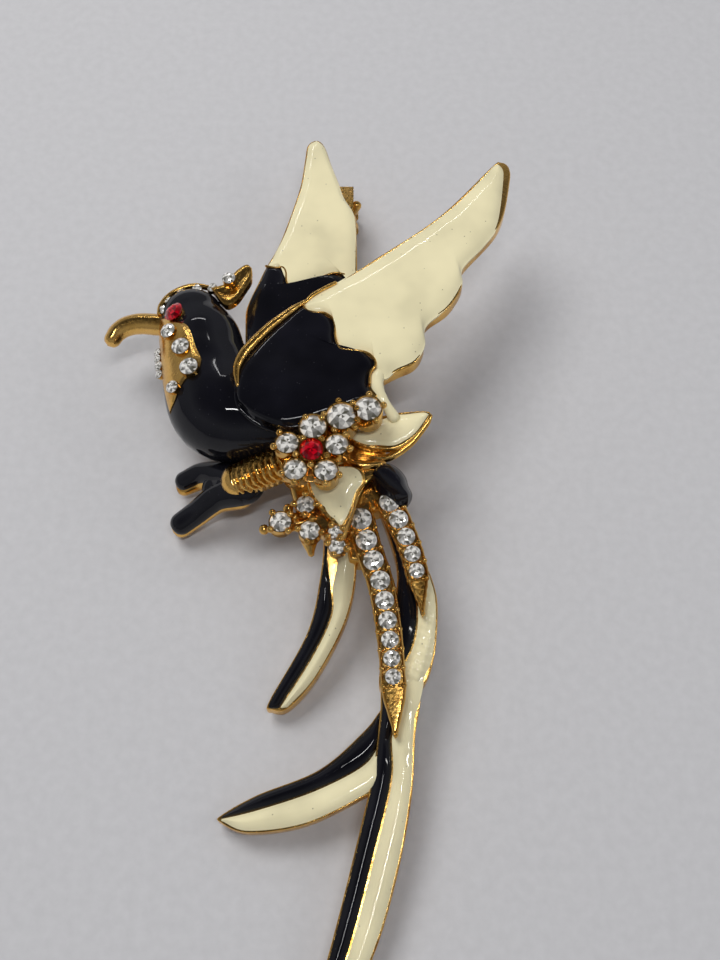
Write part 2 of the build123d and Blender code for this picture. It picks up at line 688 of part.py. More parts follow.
def make_spray_base(outside):
    """Flat gold backing of the flower spray, with posts down to the tail root."""
    flat = Sheet(0, 0, SPRAY_Z)
    plate = flat.place(extrude(closed_face(flat, SPRAY_BASE), SPRAY_T))
    root_top = BACK_Z + ROOT_T
    for spot in SPRAY_POSTS:
        plate = plate + column(*at(*spot), root_top, POST_R, SPRAY_TOP - root_top)
    return cut(plate, outside)


def make_leaf(name, runs, blockers):
    """A cream leaf on the spray."""
    tray, (cream,) = enamelled(Sheet(0, 0, SPRAY_TOP), runs, LEAF_T)
    return {name: cut(tray, *blockers), name + "_enamel": cut(cream, *blockers)}


# ---------------------------------------------------------------- hinge, pin and catch


PIN_AXIS_X, HINGE_AXIS_Y = at(PIN_X, HINGE_Y)
CATCH_MIDDLE_Y = at(PIN_X, CATCH_Y)[1]


def along_y(radius, length, y_start):
    """A cylinder along +Y from y_start, on the pin's axis."""
    shape = Cylinder(radius, length, align=(Align.CENTER, Align.CENTER, Align.MIN))
    return Location((PIN_AXIS_X, y_start, PIN_Z), (-90, 0, 0)) * shape


def along_x(radius, length, y):
    """A cylinder along X, centred on the pin."""
    return Location((PIN_AXIS_X, y, PIN_Z), (0, 90, 0)) * Cylinder(radius, length)


def make_hinge():
    """Two soldered ears and the rivet through them."""
    span = EYE_T + 2 * SIDE_GAP + 2 * EAR_T
    foot_w = span + 2 * HINGE_FOOT_MARGIN
    foot_length = 2 * (EAR_R + HINGE_FOOT_REACH)
    top = Align.CENTER, Align.CENTER, Align.MAX
    foot = Pos(PIN_AXIS_X, HINGE_AXIS_Y, BACK_Z) * Box(foot_w, foot_length, FITTING_T, align=top)
    ears = along_x(EAR_R, span, HINGE_AXIS_Y)
    neck = Box(span, 2 * EAR_R, BACK_Z - FITTING_T - PIN_Z, align=(Align.CENTER, Align.CENTER, Align.MIN))
    ears = ears + Pos(PIN_AXIS_X, HINGE_AXIS_Y, PIN_Z) * neck
    gap_height = BACK_Z - FITTING_T
    gap = Pos(PIN_AXIS_X, HINGE_AXIS_Y, gap_height / 2) * Box(EYE_T + 2 * SIDE_GAP, FAR, gap_height)
    base = foot + (ears - gap)
    base = base - along_x(RIVET_R, 2 * span, HINGE_AXIS_Y)
    rivet = along_x(RIVET_R, span, HINGE_AXIS_Y)
    for side in (-1, 1):
        head = Pos(PIN_AXIS_X + side * (span + RIVET_HEAD_T) / 2, HINGE_AXIS_Y, PIN_Z)
        rivet = rivet + head * Rot(0, 90, 0) * Cylinder(RIVET_HEAD_R, RIVET_HEAD_T)
    return largest(base), largest(rivet)


def make_pin():
    """Straight wire with a flat eye at the hinge and a tapered tip past the catch."""
    tip_y = CATCH_MIDDLE_Y + CHEEK_GAP / 2 + CHEEK_T + PIN_OVERRUN
    wire = along_y(PIN_R, tip_y - PIN_TIP - HINGE_AXIS_Y, HINGE_AXIS_Y)
    cone = Cone(PIN_R, PIN_TIP_R, PIN_TIP, align=(Align.CENTER, Align.CENTER, Align.MIN))
    tip = Location((PIN_AXIS_X, tip_y - PIN_TIP, PIN_Z), (-90, 0, 0)) * cone
    eye = along_x(EYE_R, EYE_T, HINGE_AXIS_Y)
    pin = wire + tip + eye - along_x(RIVET_R + RUNNING_FIT, 2 * EYE_T, HINGE_AXIS_Y)
    return largest(pin)


def make_catch():
    """Two open cheeks on a soldered foot, and the slotted sleeve that turns in them."""
    span = CHEEK_GAP + 2 * CHEEK_T
    start = CATCH_MIDDLE_Y - span / 2
    foot_x = PIN_AXIS_X - CATCH_FOOT_SHIFT
    foot_length = span + 2 * CATCH_FOOT_MARGIN
    top = Align.CENTER, Align.CENTER, Align.MAX
    foot = Pos(foot_x, CATCH_MIDDLE_Y, BACK_Z) * Box(CATCH_FOOT_W, foot_length, FITTING_T, align=top)
    neck_h = BACK_Z - FITTING_T - PIN_Z
    neck_x = PIN_AXIS_X - CATCH_NECK_SHIFT
    neck = Box(CATCH_NECK_W, span, neck_h, align=(Align.CENTER, Align.CENTER, Align.MIN))
    cheeks = along_y(CHEEK_R, span, start) + Pos(neck_x, CATCH_MIDDLE_Y, PIN_Z) * neck
    cheeks = cheeks - Pos(PIN_AXIS_X, CATCH_MIDDLE_Y, 0) * Box(FAR, CHEEK_GAP, 2 * (BACK_Z - FITTING_T))
    slot = Pos(PIN_AXIS_X, CATCH_MIDDLE_Y, PIN_Z) * Box(
        CHEEK_SLOT, 2 * span, 2 * CHEEK_R, align=(Align.CENTER, Align.CENTER, Align.MAX)
    )
    base = foot + cheeks - along_y(CHEEK_BORE_R, span, start) - slot

    journals = along_y(CHEEK_BORE_R - RUNNING_FIT, span, start)
    drum_length = CHEEK_GAP - 2 * SIDE_GAP
    sleeve = journals + along_y(DRUM_R, drum_length, CATCH_MIDDLE_Y - drum_length / 2)
    lever = Cylinder(LEVER_R, LEVER_REACH, align=(Align.CENTER, Align.CENTER, Align.MIN))
    lever = lever + Pos(0, 0, LEVER_REACH) * Sphere(LEVER_R)
    sleeve = sleeve + Location((PIN_AXIS_X, CATCH_MIDDLE_Y, PIN_Z), (0, 90 - LEVER_ANGLE, 0)) * lever
    sleeve_slot = Pos(PIN_AXIS_X, CATCH_MIDDLE_Y, PIN_Z) * Box(
        SLEEVE_SLOT, 2 * span, 2 * DRUM_R, align=(Align.CENTER, Align.CENTER, Align.MAX)
    )
    sleeve = sleeve - along_y(PIN_R + PIN_FIT, 2 * span, start - span / 2) - sleeve_slot
    return largest(base), largest(sleeve)


# ---------------------------------------------------------------- assembly


def build():
    nodes, outside = make_body()
    root = make_tail_root(outside)
    nodes["tail_root"] = root
    nodes["beak"] = make_beak(outside)
    nodes["crest"] = make_crest(outside, nodes["beak"])
    nodes["crest_stones"] = Compound(children=crest_stones())

    spray_base = make_spray_base(outside)
    nodes["spray_base"] = spray_base
    flower, petals, centre = make_flower()
    buds, bud_stones = make_buds(flower)
    sprig, sprig_stones = make_sprig()
    sprig = cut(sprig, flower)
    nodes["flower_setting"] = flower
    nodes["flower_petal_stones"] = Compound(children=petals)
    nodes["flower_centre_stone"] = centre
    nodes["bud_setting"] = buds
    nodes["bud_stones"] = Compound(children=bud_stones)
    nodes["sprig_setting"] = sprig
    nodes["sprig_stones"] = Compound(children=sprig_stones)
    nodes.update(make_leaf("upper_leaf", UPPER_LEAF, [flower, buds]))
    nodes.update(make_leaf("lower_leaf", LOWER_LEAF, [flower, sprig] + sprig_stones))

    spray = flower + buds
    nodes.update(make_near_wing(outside, spray))
    nodes.update(make_far_wing(outside))

    leg = make_leg(outside, root, spray_base)
    nodes["near_leg"] = leg
    nodes["near_claw"], nodes["near_claw_enamel"] = make_claw(leg)
    nodes["far_foot"], nodes["far_foot_enamel"] = make_far_foot(spray_base)

    tail = Sheet(0, -2.0, BACK_Z, tip_x=TAIL_SLOPE)
    nodes.update(make_feather("right_feather", tail, RIGHT_FEATHER, RIGHT_DIVIDER, [root]))
    nodes.update(make_feather("main_feather", tail, MAIN_FEATHER, MAIN_DIVIDER, []))
    main = nodes["main_feather"] + nodes["main_feather_black_enamel"]
    lower_z = tail.height(8.6, -17.0) - FEATHER_T / 2
    lower = Sheet(8.6, -17.0, lower_z, tip_y=-LOWER_TIP)
    blockers = [main, nodes["main_feather_cream_enamel"], nodes["right_feather"]]
    nodes.update(make_feather("lower_feather", lower, LOWER_FEATHER, LOWER_DIVIDER, blockers))
    short = Sheet(2.6, 0.4, BACK_Z + 0.8, tip_x=SHORT_SLOPE)
    nodes.update(make_feather("short_feather", short, SHORT_FEATHER, SHORT_DIVIDER, [root]))

    feather_top = BACK_Z + FEATHER_T / cos(radians(TAIL_SLOPE))
    over_tail = Sheet(0, -2.0, feather_top, tip_x=TAIL_SLOPE)
    obstacles = [root, spray_base, nodes["far_foot"], nodes["far_foot_enamel"]]
    for name, points in (("long_strand", LONG_STRAND), ("short_strand", SHORT_STRAND)):
        channel, stones = make_strand(over_tail, points, obstacles)
        nodes[name] = channel
        nodes[name + "_stones"] = Compound(children=stones)

    nodes["hinge_base"], nodes["hinge_rivet"] = make_hinge()
    nodes["pin_stem"] = make_pin()
    nodes["catch_base"], nodes["catch_sleeve"] = make_catch()
    return nodes


os.makedirs("parts", exist_ok=True)
for node_name, node_shape in build().items():
    export(node_name, node_shape)
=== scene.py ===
"""Bird of paradise dress pin: enamelled gold casting set with stones, in millimetres on the frame."""

import math

import bpy
from mathutils import Matrix, Vector


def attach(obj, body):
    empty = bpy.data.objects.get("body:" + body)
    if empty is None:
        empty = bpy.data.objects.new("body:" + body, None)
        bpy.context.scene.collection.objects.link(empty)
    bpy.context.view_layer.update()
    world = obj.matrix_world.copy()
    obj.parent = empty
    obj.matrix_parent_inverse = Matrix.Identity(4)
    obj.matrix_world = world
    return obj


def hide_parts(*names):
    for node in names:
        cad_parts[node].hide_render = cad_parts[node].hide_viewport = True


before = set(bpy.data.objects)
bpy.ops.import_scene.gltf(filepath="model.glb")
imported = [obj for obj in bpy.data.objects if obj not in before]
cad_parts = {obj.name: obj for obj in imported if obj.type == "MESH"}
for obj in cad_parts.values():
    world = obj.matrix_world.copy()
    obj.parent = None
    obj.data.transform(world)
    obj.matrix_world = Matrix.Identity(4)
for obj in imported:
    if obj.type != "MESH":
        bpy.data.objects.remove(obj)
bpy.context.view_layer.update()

bl_info = {
    "name": "Bird of paradise dress pin",
    "version": (1, 0, 0),
    "blender": (4, 5, 0),
    "location": "View3D > Sidebar > Dress pin",
    "description": "Models the enamel, gold, stones and stage of a bird of paradise dress pin",
    "category": "Object",
}

MM = 0.001

# ---------------------------------------------------------------- plan of the piece, in millimetres

BACK_Z = 6.2
BODY = [
    (-12.7, 27.2, 8.0, 3.75),
    (-11.6, 24.4, 8.2, 4.6),
    (-10.7, 20.4, 8.2, 5.1),
    (-8.6, 15.6, 8.2, 5.7),
    (-3.4, 14.8, 8.2, 5.1),
    (1.6, 14.8, 8.2, 4.4),
]
BEAK = [
    (-14.6, 26.6, 8.3, 1.5),
    (-16.4, 26.6, 8.2, 1.3),
    (-18.6, 26.8, 8.1, 1.25),
    (-20.2, 26.6, 7.9, 1.2),
    (-21.3, 26.0, 7.6, 1.12),
    (-21.85, 25.2, 7.4, 1.02),
]
CREST_LINE = [(-16.3, 27.2), (-16.2, 28.2), (-15.4, 29.5), (-14.0, 30.5), (-12.4, 30.9), (-10.8, 30.6),
    (-9.6, 30.4)]
CREST_LEAF = (
    [(-10.6, 30.4), (-9.8, 30.6), (-8.9, 31.0), (-8.3, 32.0), (-7.5, 33.0), (-6.6, 33.6), (-6.0, 33.1)],
    [(-10.6, 30.4), (-9.8, 29.3), (-9.2, 28.4), (-8.5, 28.0), (-7.5, 28.7), (-6.7, 30.1), (-6.0, 31.6),
    (-6.0, 33.1)],
)
CREST_STONES = [(-15.9, 27.6), (-15.2, 28.7), (-13.9, 29.8), (-12.2, 30.5), (-10.5, 30.6)]
CREST_TIP_STONE = (-8.5, 31.2)
THROAT = (
    [(-16.2, 26.3), (-16.5, 25.0), (-16.1, 23.4), (-15.7, 21.5), (-15.5, 19.9), (-15.3, 18.4),
    (-14.8, 16.3), (-14.2, 14.2)],
    [(-16.2, 26.3), (-13.9, 24.6), (-12.5, 23.5), (-11.8, 22.0), (-11.2, 20.2), (-10.6, 18.8),
    (-10.9, 17.3),
     (-12.1, 16.7), (-13.0, 15.6), (-13.5, 14.7), (-14.2, 14.2)],
)
THROAT_STONES = [(-14.4, 23.1, 1.75), (-12.8, 20.5, 1.95), (-11.7, 17.7, 2.0), (-13.4, 16.0, 1.4)]
EDGE_STONES = [(-15.9, 22.0, 1.0), (-15.8, 21.1, 1.0), (-15.6, 20.1, 1.1), (-15.5, 19.2, 1.0)]
EYE = (-14.0, 25.6, 2.35)

NEAR_WING_BACK = [
    (-6.2, 15.0), (-6.0, 18.0), (-4.3, 20.8), (-0.2, 25.0), (8.0, 31.4), (15.7, 37.7), (22.0, 45.0),
    (23.0, 45.6), (23.9, 44.9), (23.9, 42.6), (22.3, 36.2), (17.9, 30.3), (17.8, 27.9), (16.2, 25.0),
    (13.6, 22.7),
    (13.4, 20.0), (12.4, 18.0), (10.4, 16.9), (8.9, 15.9), (8.5, 14.4), (7.8, 13.5), (6.0, 13.4),
    (3.2, 12.1), (-0.8, 10.9), (-4.0, 12.0), (-5.6, 13.4),
]
NEAR_DIVIDER = [
    (0.3, 25.4), (0.4, 24.8), (0.9, 24.3), (1.7, 24.1), (2.5, 24.1), (3.1, 23.8), (3.6, 23.2),
    (3.8, 22.3), (3.8, 21.2),
    (4.0, 20.3), (4.4, 19.6), (5.3, 19.4), (6.8, 19.2), (7.6, 18.8), (8.1, 18.1), (8.1, 17.4),
    (7.6, 16.6), (7.5, 15.3),
]
NEAR_WING_CREAM = (
    [(0.3, 25.4), (1.6, 26.7), (8.0, 31.4), (15.7, 37.7), (20.3, 42.9), (21.9, 44.9), (22.6, 45.3)],
    NEAR_DIVIDER[:16] + [
        (8.4, 16.5), (9.2, 15.9), (10.4, 16.9), (12.4, 18.0), (13.5, 20.0), (13.7, 22.5), (16.2, 25.0),
        (17.8, 27.9), (18.0, 30.2), (20.6, 33.4), (22.3, 36.4), (23.3, 42.6), (23.3, 44.5), (22.6, 45.3)],
)
NEAR_WING_BLACK = (
    [(-6.4, 13.4), (-6.8, 15.2), (-6.5, 17.8), (-4.8, 20.5), (-2.2, 23.3), (0.3, 25.4)],
    [(-6.4, 13.4), (-4.4, 11.5), (-0.8, 10.3), (3.4, 11.6), (6.8, 13.0), (7.8, 13.7)] + NEAR_DIVIDER[::-1],
)
WING_NECK = [(9.0, 17.8, 13.6, 0.7), (8.35, 16.3, 13.95, 0.78), (8.3, 15.3, 14.0, 0.72),
    (8.7, 14.2, 13.8, 0.6),
             (9.3, 13.2, 13.4, 0.55), (10.1, 12.2, 12.7, 0.65)]
NEAR_WING_RIDGE = [(-6.4, 15.0), (-6.6, 16.7), (-6.3, 18.0), (-5.6, 19.3), (-3.5, 21.9), (-1.0, 24.3),
    (0.5, 25.6)]
WING_LINE = [(0.5, 25.6), (1.3, 26.6), (2.6, 27.5), (3.8, 28.2)]
UNDERLINE = [(-6.5, 14.9, 14.0), (-6.6, 14.2, 13.8), (-6.3, 13.1, 13.5), (-5.3, 12.1, 13.0),
    (-3.9, 11.3, 12.5),
             (-2.3, 10.9, 12.0), (-0.7, 10.7, 11.5)]
FAR_WING_BACK = [
    (-5.6, 18.0), (-6.4, 22.0), (-6.7, 27.0), (-6.7, 28.8), (-6.2, 30.6), (-5.4, 32.7), (-4.6, 34.8),
    (-3.1, 38.2),
    (-1.4, 44.2), (-0.7, 47.4), (-0.3, 51.0), (0.0, 53.2), (1.1, 54.0), (2.1, 53.0), (3.0, 50.0),
    (3.9, 47.3),
    (4.6, 45.0), (5.9, 42.2), (6.1, 38.0), (6.2, 30.0), (6.0, 18.0),
]
FAR_DIVIDER = [
    (-4.6, 34.8), (-3.4, 34.5), (-2.6, 34.6), (-2.2, 33.9), (-2.1, 32.6), (-1.6, 31.8), (0.1, 32.2),
    (2.4, 33.4),
    (3.6, 33.8), (4.7, 33.6), (5.3, 32.8), (6.0, 32.0),
]
FAR_WING_CREAM = (
    [(-4.6, 34.8), (-3.1, 38.2), (-1.4, 44.2), (-0.7, 47.4), (-0.3, 51.0), (0.0, 53.2), (1.0, 53.9)],
    FAR_DIVIDER + [(6.1, 38.0), (5.9, 42.2), (4.6, 45.0), (3.9, 47.3), (3.0, 50.0), (2.1, 53.0),
    (1.0, 53.9)],
)
FAR_WING_BLACK = (
    [(-5.6, 18.4), (-6.4, 22.0), (-6.7, 27.0), (-6.7, 28.8), (-6.2, 30.6), (-5.4, 32.7), (-4.6, 34.8)],
    [(-5.6, 18.4), (0.0, 18.4), (5.8, 18.6), (6.1, 26.0)] + FAR_DIVIDER[::-1],
)

MAIN_LEFT = [(8.6, -15.6), (8.5, -18.0), (7.7, -23.8), (6.2, -30.0), (3.5, -40.1), (0.6, -49.0),
    (-2.0, -54.3)]
MAIN_MIDDLE = [(10.7, -15.6), (10.3, -17.6), (9.6, -20.1), (9.6, -24.1), (8.0, -30.6), (5.3, -40.1),
    (2.0, -47.8), (-2.0, -54.3)]
MAIN_RIGHT = [(12.4, -15.6), (12.0, -20.1), (11.6, -25.6), (10.2, -32.6), (7.8, -40.1), (3.4, -48.4),
    (-2.0, -54.3)]
RIGHT_LEFT = [(8.4, 3.8), (9.5, 0.6), (10.3, -2.6), (10.2, -5.6), (9.1, -10.5), (8.6, -15.4)]
RIGHT_MIDDLE = [(9.6, 3.8), (10.9, 0.4), (11.8, -4.1), (12.4, -7.4), (12.0, -10.6), (10.7, -13.2),
    (9.4, -14.2), (8.8, -15.4)]
RIGHT_RIGHT = [(10.8, 3.8), (12.6, -0.6), (14.1, -4.4), (14.5, -7.4), (14.0, -12.4), (12.4, -15.4)]
TAIL_MERGE = (
    [(10.6, -12.6), (9.5, -13.6), (9.0, -15.0), (9.5, -17.5), (10.2, -20.5)],
    [(10.6, -12.6), (12.4, -12.6), (13.0, -14.0), (12.2, -17.5), (10.2, -20.5)],
)
LOWER_LEFT = [(8.6, -17.2), (6.8, -19.4), (2.4, -23.0), (-3.8, -25.3), (-7.4, -27.2)]
LOWER_MIDDLE = [(8.6, -20.4), (6.8, -22.7), (2.0, -25.0), (-3.7, -26.7), (-7.4, -27.5)]
LOWER_RIGHT = [(8.6, -24.4), (6.8, -25.8), (1.1, -28.3), (-4.6, -28.9), (-7.4, -27.8)]
SHORT_LEFT = [(2.7, 0.4), (2.4, -3.3), (1.0, -9.1), (-2.9, -15.7), (-2.7, -16.5)]
SHORT_BLACK = [(3.2, 0.4), (3.1, -2.0), (3.35, -3.6), (3.5, -4.8), (3.5, -7.5), (1.5, -11.5), (-1.9, -16.5)]
SHORT_CREAM = [(4.3, 0.4), (4.1, -2.0), (3.8, -3.6), (3.55, -4.8), (3.5, -7.5), (1.5, -11.5), (-1.9, -16.5)]
SHORT_RIGHT = [(5.6, 0.4), (6.1, -3.3), (5.0, -8.1), (2.0, -13.4), (-0.9, -16.4)]
LONG_STRAND = [(6.2, 3.4), (7.2, -0.7), (8.7, -5.3), (9.5, -10.6), (9.9, -16.3), (10.0, -20.3)]
SHORT_STRAND = [(9.2, 4.4), (10.7, 1.3), (12.0, -2.3), (12.6, -5.6), (12.9, -8.2)]

LEG = [(-0.6, 9.1, 9.2, 1.9), (-2.6, 8.5, 8.5, 2.1), (-5.0, 7.9, 7.5, 2.1), (-6.6, 7.5, 6.7, 2.05)]
UPPER_TOE = [(-6.6, 7.8, 6.1, 1.9), (-9.0, 9.1, 5.0, 1.5), (-11.2, 9.8, 3.7, 1.3), (-13.2, 9.4, 2.7, 1.15)]
LOWER_TOE = [(-6.6, 6.8, 6.0, 1.9), (-9.3, 6.4, 4.7, 1.5), (-11.6, 5.3, 3.2, 1.35), (-13.3, 4.4, 2.3, 1.3)]
PALM = [(-6.0, 7.3, 6.2, 2.3), (-8.2, 7.5, 5.2, 2.1), (-9.6, 7.7, 4.6, 1.5)]
FAR_FOOT = (
    [(7.7, 5.9), (7.9, 7.2), (9.3, 8.0), (10.5, 7.4), (11.3, 6.4), (11.6, 5.3), (12.0, 4.2), (11.5, 3.2)],
    [(7.7, 5.9), (8.3, 5.0), (9.3, 3.9), (10.4, 3.2), (11.5, 3.2)],
)

TAIL_ROOT = [
    (5.4, -2.4), (7.0, -2.5), (7.4, -0.8), (7.2, 1.6), (7.9, 3.0), (9.3, 3.4), (11.0, 3.2), (10.6, 5.4),
    (9.2, 9.0),
    (8.4, 13.6), (2.0, 13.6), (0.8, 8.0), (2.0, 3.4), (4.4, 1.6),
]
SPRAY_WEB = [
    (-0.8, 8.0), (1.0, 9.6), (4.6, 10.8), (7.4, 11.4), (9.0, 10.0), (9.3, 8.0), (8.6, 6.6), (7.4, 5.4),
    (6.4, 3.4),
    (5.6, 1.0), (4.9, -1.0), (4.0, -1.4), (2.6, -0.2), (0.8, 1.4), (-0.4, 3.4), (-1.0, 6.0),
]
FAR_SHANK = [(5.4, 7.6, 9.6, 0.9), (7.0, 7.0, 10.2, 0.8), (8.8, 6.2, 10.2, 0.8)]

FLOWER = (1.6, 6.5, 16.3)
PETAL_REACH = 2.65
PETAL_TURN = 88.0
BUDS = [(4.6, 10.6), (7.3, 11.5)]
BUD_Z = 15.8
SPRIG = [(0.9, 2.2, 2.0), (-1.6, 0.25, 2.25), (1.4, -0.7, 2.15), (4.0, -0.9, 1.5), (4.2, -2.4, 1.75)]
SPRIG_Z = 12.5
SPRIG_BALLS = [(-3.3, -0.2), (-0.9, 2.1), (-0.2, 1.1)]
UPPER_LEAF = (
    [(5.0, 10.2), (7.2, 11.9), (9.6, 12.9), (11.6, 13.0), (13.4, 12.9), (13.9, 12.4)],
    [(5.0, 10.2), (6.6, 9.2), (8.4, 8.8), (10.4, 8.8), (12.4, 10.1), (13.9, 12.4)],
)
LOWER_LEAF = (
    [(3.0, 6.2), (1.1, 5.3), (1.3, 3.6), (2.3, 1.8), (3.4, 0.7), (4.6, -0.3)],
    [(3.0, 6.2), (6.2, 6.2), (7.1, 4.9), (6.3, 3.6), (5.6, 1.5), (4.6, -0.3)],
)


# ---------------------------------------------------------------- sizes and colours a maker would change


class PinSizes(bpy.types.PropertyGroup):
    """Sizes of the pin's finish."""

    rim: bpy.props.FloatProperty(
        name="Gold rim", description="Width of bare gold round each enamel", default=0.09 * MM,
        unit="LENGTH")
    crown: bpy.props.FloatProperty(
        name="Enamel crown", description="How far the enamel stands above its rim", default=0.42 * MM,
        unit="LENGTH")
    bead: bpy.props.FloatProperty(
        name="Edge bead", description="Radius of the beads along a stone channel", default=0.2 * MM,
        unit="LENGTH")
    prong: bpy.props.FloatProperty(
        name="Prong ball", description="Radius of the ball on each prong", default=0.38 * MM, unit="LENGTH")


class PinColours(bpy.types.PropertyGroup):
    """Colours of the pin's finishes."""

    gold: bpy.props.FloatVectorProperty(
        name="Gold", description="Plated gold", default=(0.84, 0.50, 0.13), subtype="COLOR", size=3)
    cream: bpy.props.FloatVectorProperty(
        name="Cream enamel", description="Ivory enamel", default=(0.84, 0.77, 0.50), subtype="COLOR",
        size=3)
    black: bpy.props.FloatVectorProperty(
        name="Black enamel", description="Black enamel", default=(0.004, 0.004, 0.006), subtype="COLOR",
        size=3)
    red: bpy.props.FloatVectorProperty(
        name="Red stone", description="Eye and flower centre", default=(0.75, 0.0, 0.015),
        subtype="COLOR", size=3)
    floor: bpy.props.FloatVectorProperty(
        name="Floor", description="Pale floor", default=(0.60, 0.60, 0.62), subtype="COLOR", size=3)


# ---------------------------------------------------------------- finishes


def new_finish(name):
    """A material with one Principled shader; gives it, its node tree and the shader."""
    material = bpy.data.materials.new(name + "_finish")
    material.use_nodes = True
    tree = material.node_tree
    return material, tree, tree.nodes["Principled BSDF"]


def grain(tree, scale, detail, roughness=0.5):
    """Noise on the piece's own coordinates."""
    place = tree.nodes.new("ShaderNodeTexCoord")
    noise = tree.nodes.new("ShaderNodeTexNoise")
    noise.inputs["Scale"].default_value = scale
    noise.inputs["Detail"].default_value = detail
    noise.inputs["Roughness"].default_value = roughness
    tree.links.new(place.outputs["Object"], noise.inputs["Vector"])
    return noise


def shades(tree, source, stops):
    """Colour ramp over a value; stops are (place, colour)."""
    ramp = tree.nodes.new("ShaderNodeValToRGB")
    ramp.color_ramp.elements[0].position = stops[0][0]
    ramp.color_ramp.elements[0].color = (*stops[0][1], 1)
    ramp.color_ramp.elements[1].position = stops[-1][0]
    ramp.color_ramp.elements[1].color = (*stops[-1][1], 1)
    for place, colour in stops[1:-1]:
        ramp.color_ramp.elements.new(place).color = (*colour, 1)
    tree.links.new(source, ramp.inputs["Fac"])
    return ramp.outputs["Color"]


def spread(tree, source, low, high):
    """Value from 0 to 1 spread between two values."""
    reach = tree.nodes.new("ShaderNodeMapRange")
    reach.inputs["From Min"].default_value = 0.3
    reach.inputs["From Max"].default_value = 0.7
    reach.inputs["To Min"].default_value = low
    reach.inputs["To Max"].default_value = high
    tree.links.new(source, reach.inputs["Value"])
    return reach.outputs["Result"]


def relief(tree, shader, source, strength, depth):
    bump = tree.nodes.new("ShaderNodeBump")
    bump.inputs["Strength"].default_value = strength
    bump.inputs["Distance"].default_value = depth
    tree.links.new(source, bump.inputs["Height"])
    tree.links.new(bump.outputs["Normal"], shader.inputs["Normal"])
    return bump


def scaled(colour, share):
    return tuple(part * share for part in colour)


def plated_gold(name, colour, shine, wear):
    """Polished plate with uneven tone and fine casting marks."""
    material, tree, shader = new_finish(name)
    broad = grain(tree, 320, 3)
    fine = grain(tree, 2600, 4)
    tone = shades(tree, broad.outputs["Fac"], [
        (0.30, (colour[0] * 0.62, colour[1] * 0.50, colour[2] * 0.36)),
        (0.48, colour),
        (0.72, (min(1, colour[0] * 1.1), colour[1] * 1.12, colour[2] * 1.35)),
    ])
    tree.links.new(tone, shader.inputs["Base Color"])
    tree.links.new(spread(tree, fine.outputs["Fac"], shine, shine + wear), shader.inputs["Roughness"])
    relief(tree, shader, fine.outputs["Fac"], 0.35, 0.00006)
    shader.inputs["Metallic"].default_value = 1.0
    return material


def fired_enamel(name, tones, speck, speck_scale, gloss):
    """Glossy enamel that pooled a little unevenly, with fine specks."""
    material, tree, shader = new_finish(name)
    broad = grain(tree, 210, 2)
    pool = grain(tree, 420, 1, 0.3)
    place = tree.nodes.new("ShaderNodeTexCoord")
    dots = tree.nodes.new("ShaderNodeTexVoronoi")
    dots.inputs["Scale"].default_value = speck_scale
    dots.inputs["Randomness"].default_value = 1.0
    tree.links.new(place.outputs["Object"], dots.inputs["Vector"])
    ground = shades(tree, broad.outputs["Fac"], [(0.32, tones[0]), (0.5, tones[1]), (0.7, tones[2])])
    near_dot = shades(tree, dots.outputs["Distance"], [(0.045, (1, 1, 1)), (0.085, (0, 0, 0))])
    mixed = tree.nodes.new("ShaderNodeMix")
    mixed.data_type = "RGBA"
    tree.links.new(near_dot, mixed.inputs["Factor"])
    tree.links.new(ground, mixed.inputs["A"])
    mixed.inputs["B"].default_value = (*speck, 1)
    tree.links.new(mixed.outputs["Result"], shader.inputs["Base Color"])
    tree.links.new(spread(tree, broad.outputs["Fac"], 0.03, 0.08), shader.inputs["Roughness"])
    relief(tree, shader, pool.outputs["Fac"], 0.35, 0.00018)
    shader.inputs["Specular IOR Level"].default_value = gloss
    return material


def cut_glass(name, shaded_face_colour, glinting_face_colour, metal):
    """Foil-backed faceted glass; each face gets a painted brightness, dark to bright, that stands in for
    the reflections and glints of a cut stone.
    """
    material, tree, shader = new_finish(name)
    facet_glint = tree.nodes.new("ShaderNodeAttribute")
    facet_glint.attribute_name = "facet_glint"
    cloud = grain(tree, 900, 2)
    blend = tree.nodes.new("ShaderNodeMath")
    blend.operation = "MULTIPLY_ADD"
    tree.links.new(cloud.outputs["Fac"], blend.inputs[0])
    blend.inputs[1].default_value = 0.25
    tree.links.new(facet_glint.outputs["Fac"], blend.inputs[2])
    # painted reflections: each face's value plus a noise cloud runs from the dark colour to the full stone
    # colour, standing in for the glints and dark reflections in a cut stone
    tone = shades(tree, blend.outputs["Value"],
        [(0.2, shaded_face_colour), (0.45, scaled(glinting_face_colour, 0.35)), (0.75, scaled(glinting_face_colour, 0.7)), (0.95, glinting_face_colour)])
    tree.links.new(tone, shader.inputs["Base Color"])
    shader.inputs["Metallic"].default_value = metal
    shader.inputs["Roughness"].default_value = 0.05
    shader.inputs["IOR"].default_value = 1.6
    shader.inputs["Coat Weight"].default_value = 1.0
    shader.inputs["Coat Roughness"].default_value = 0.02
    return material


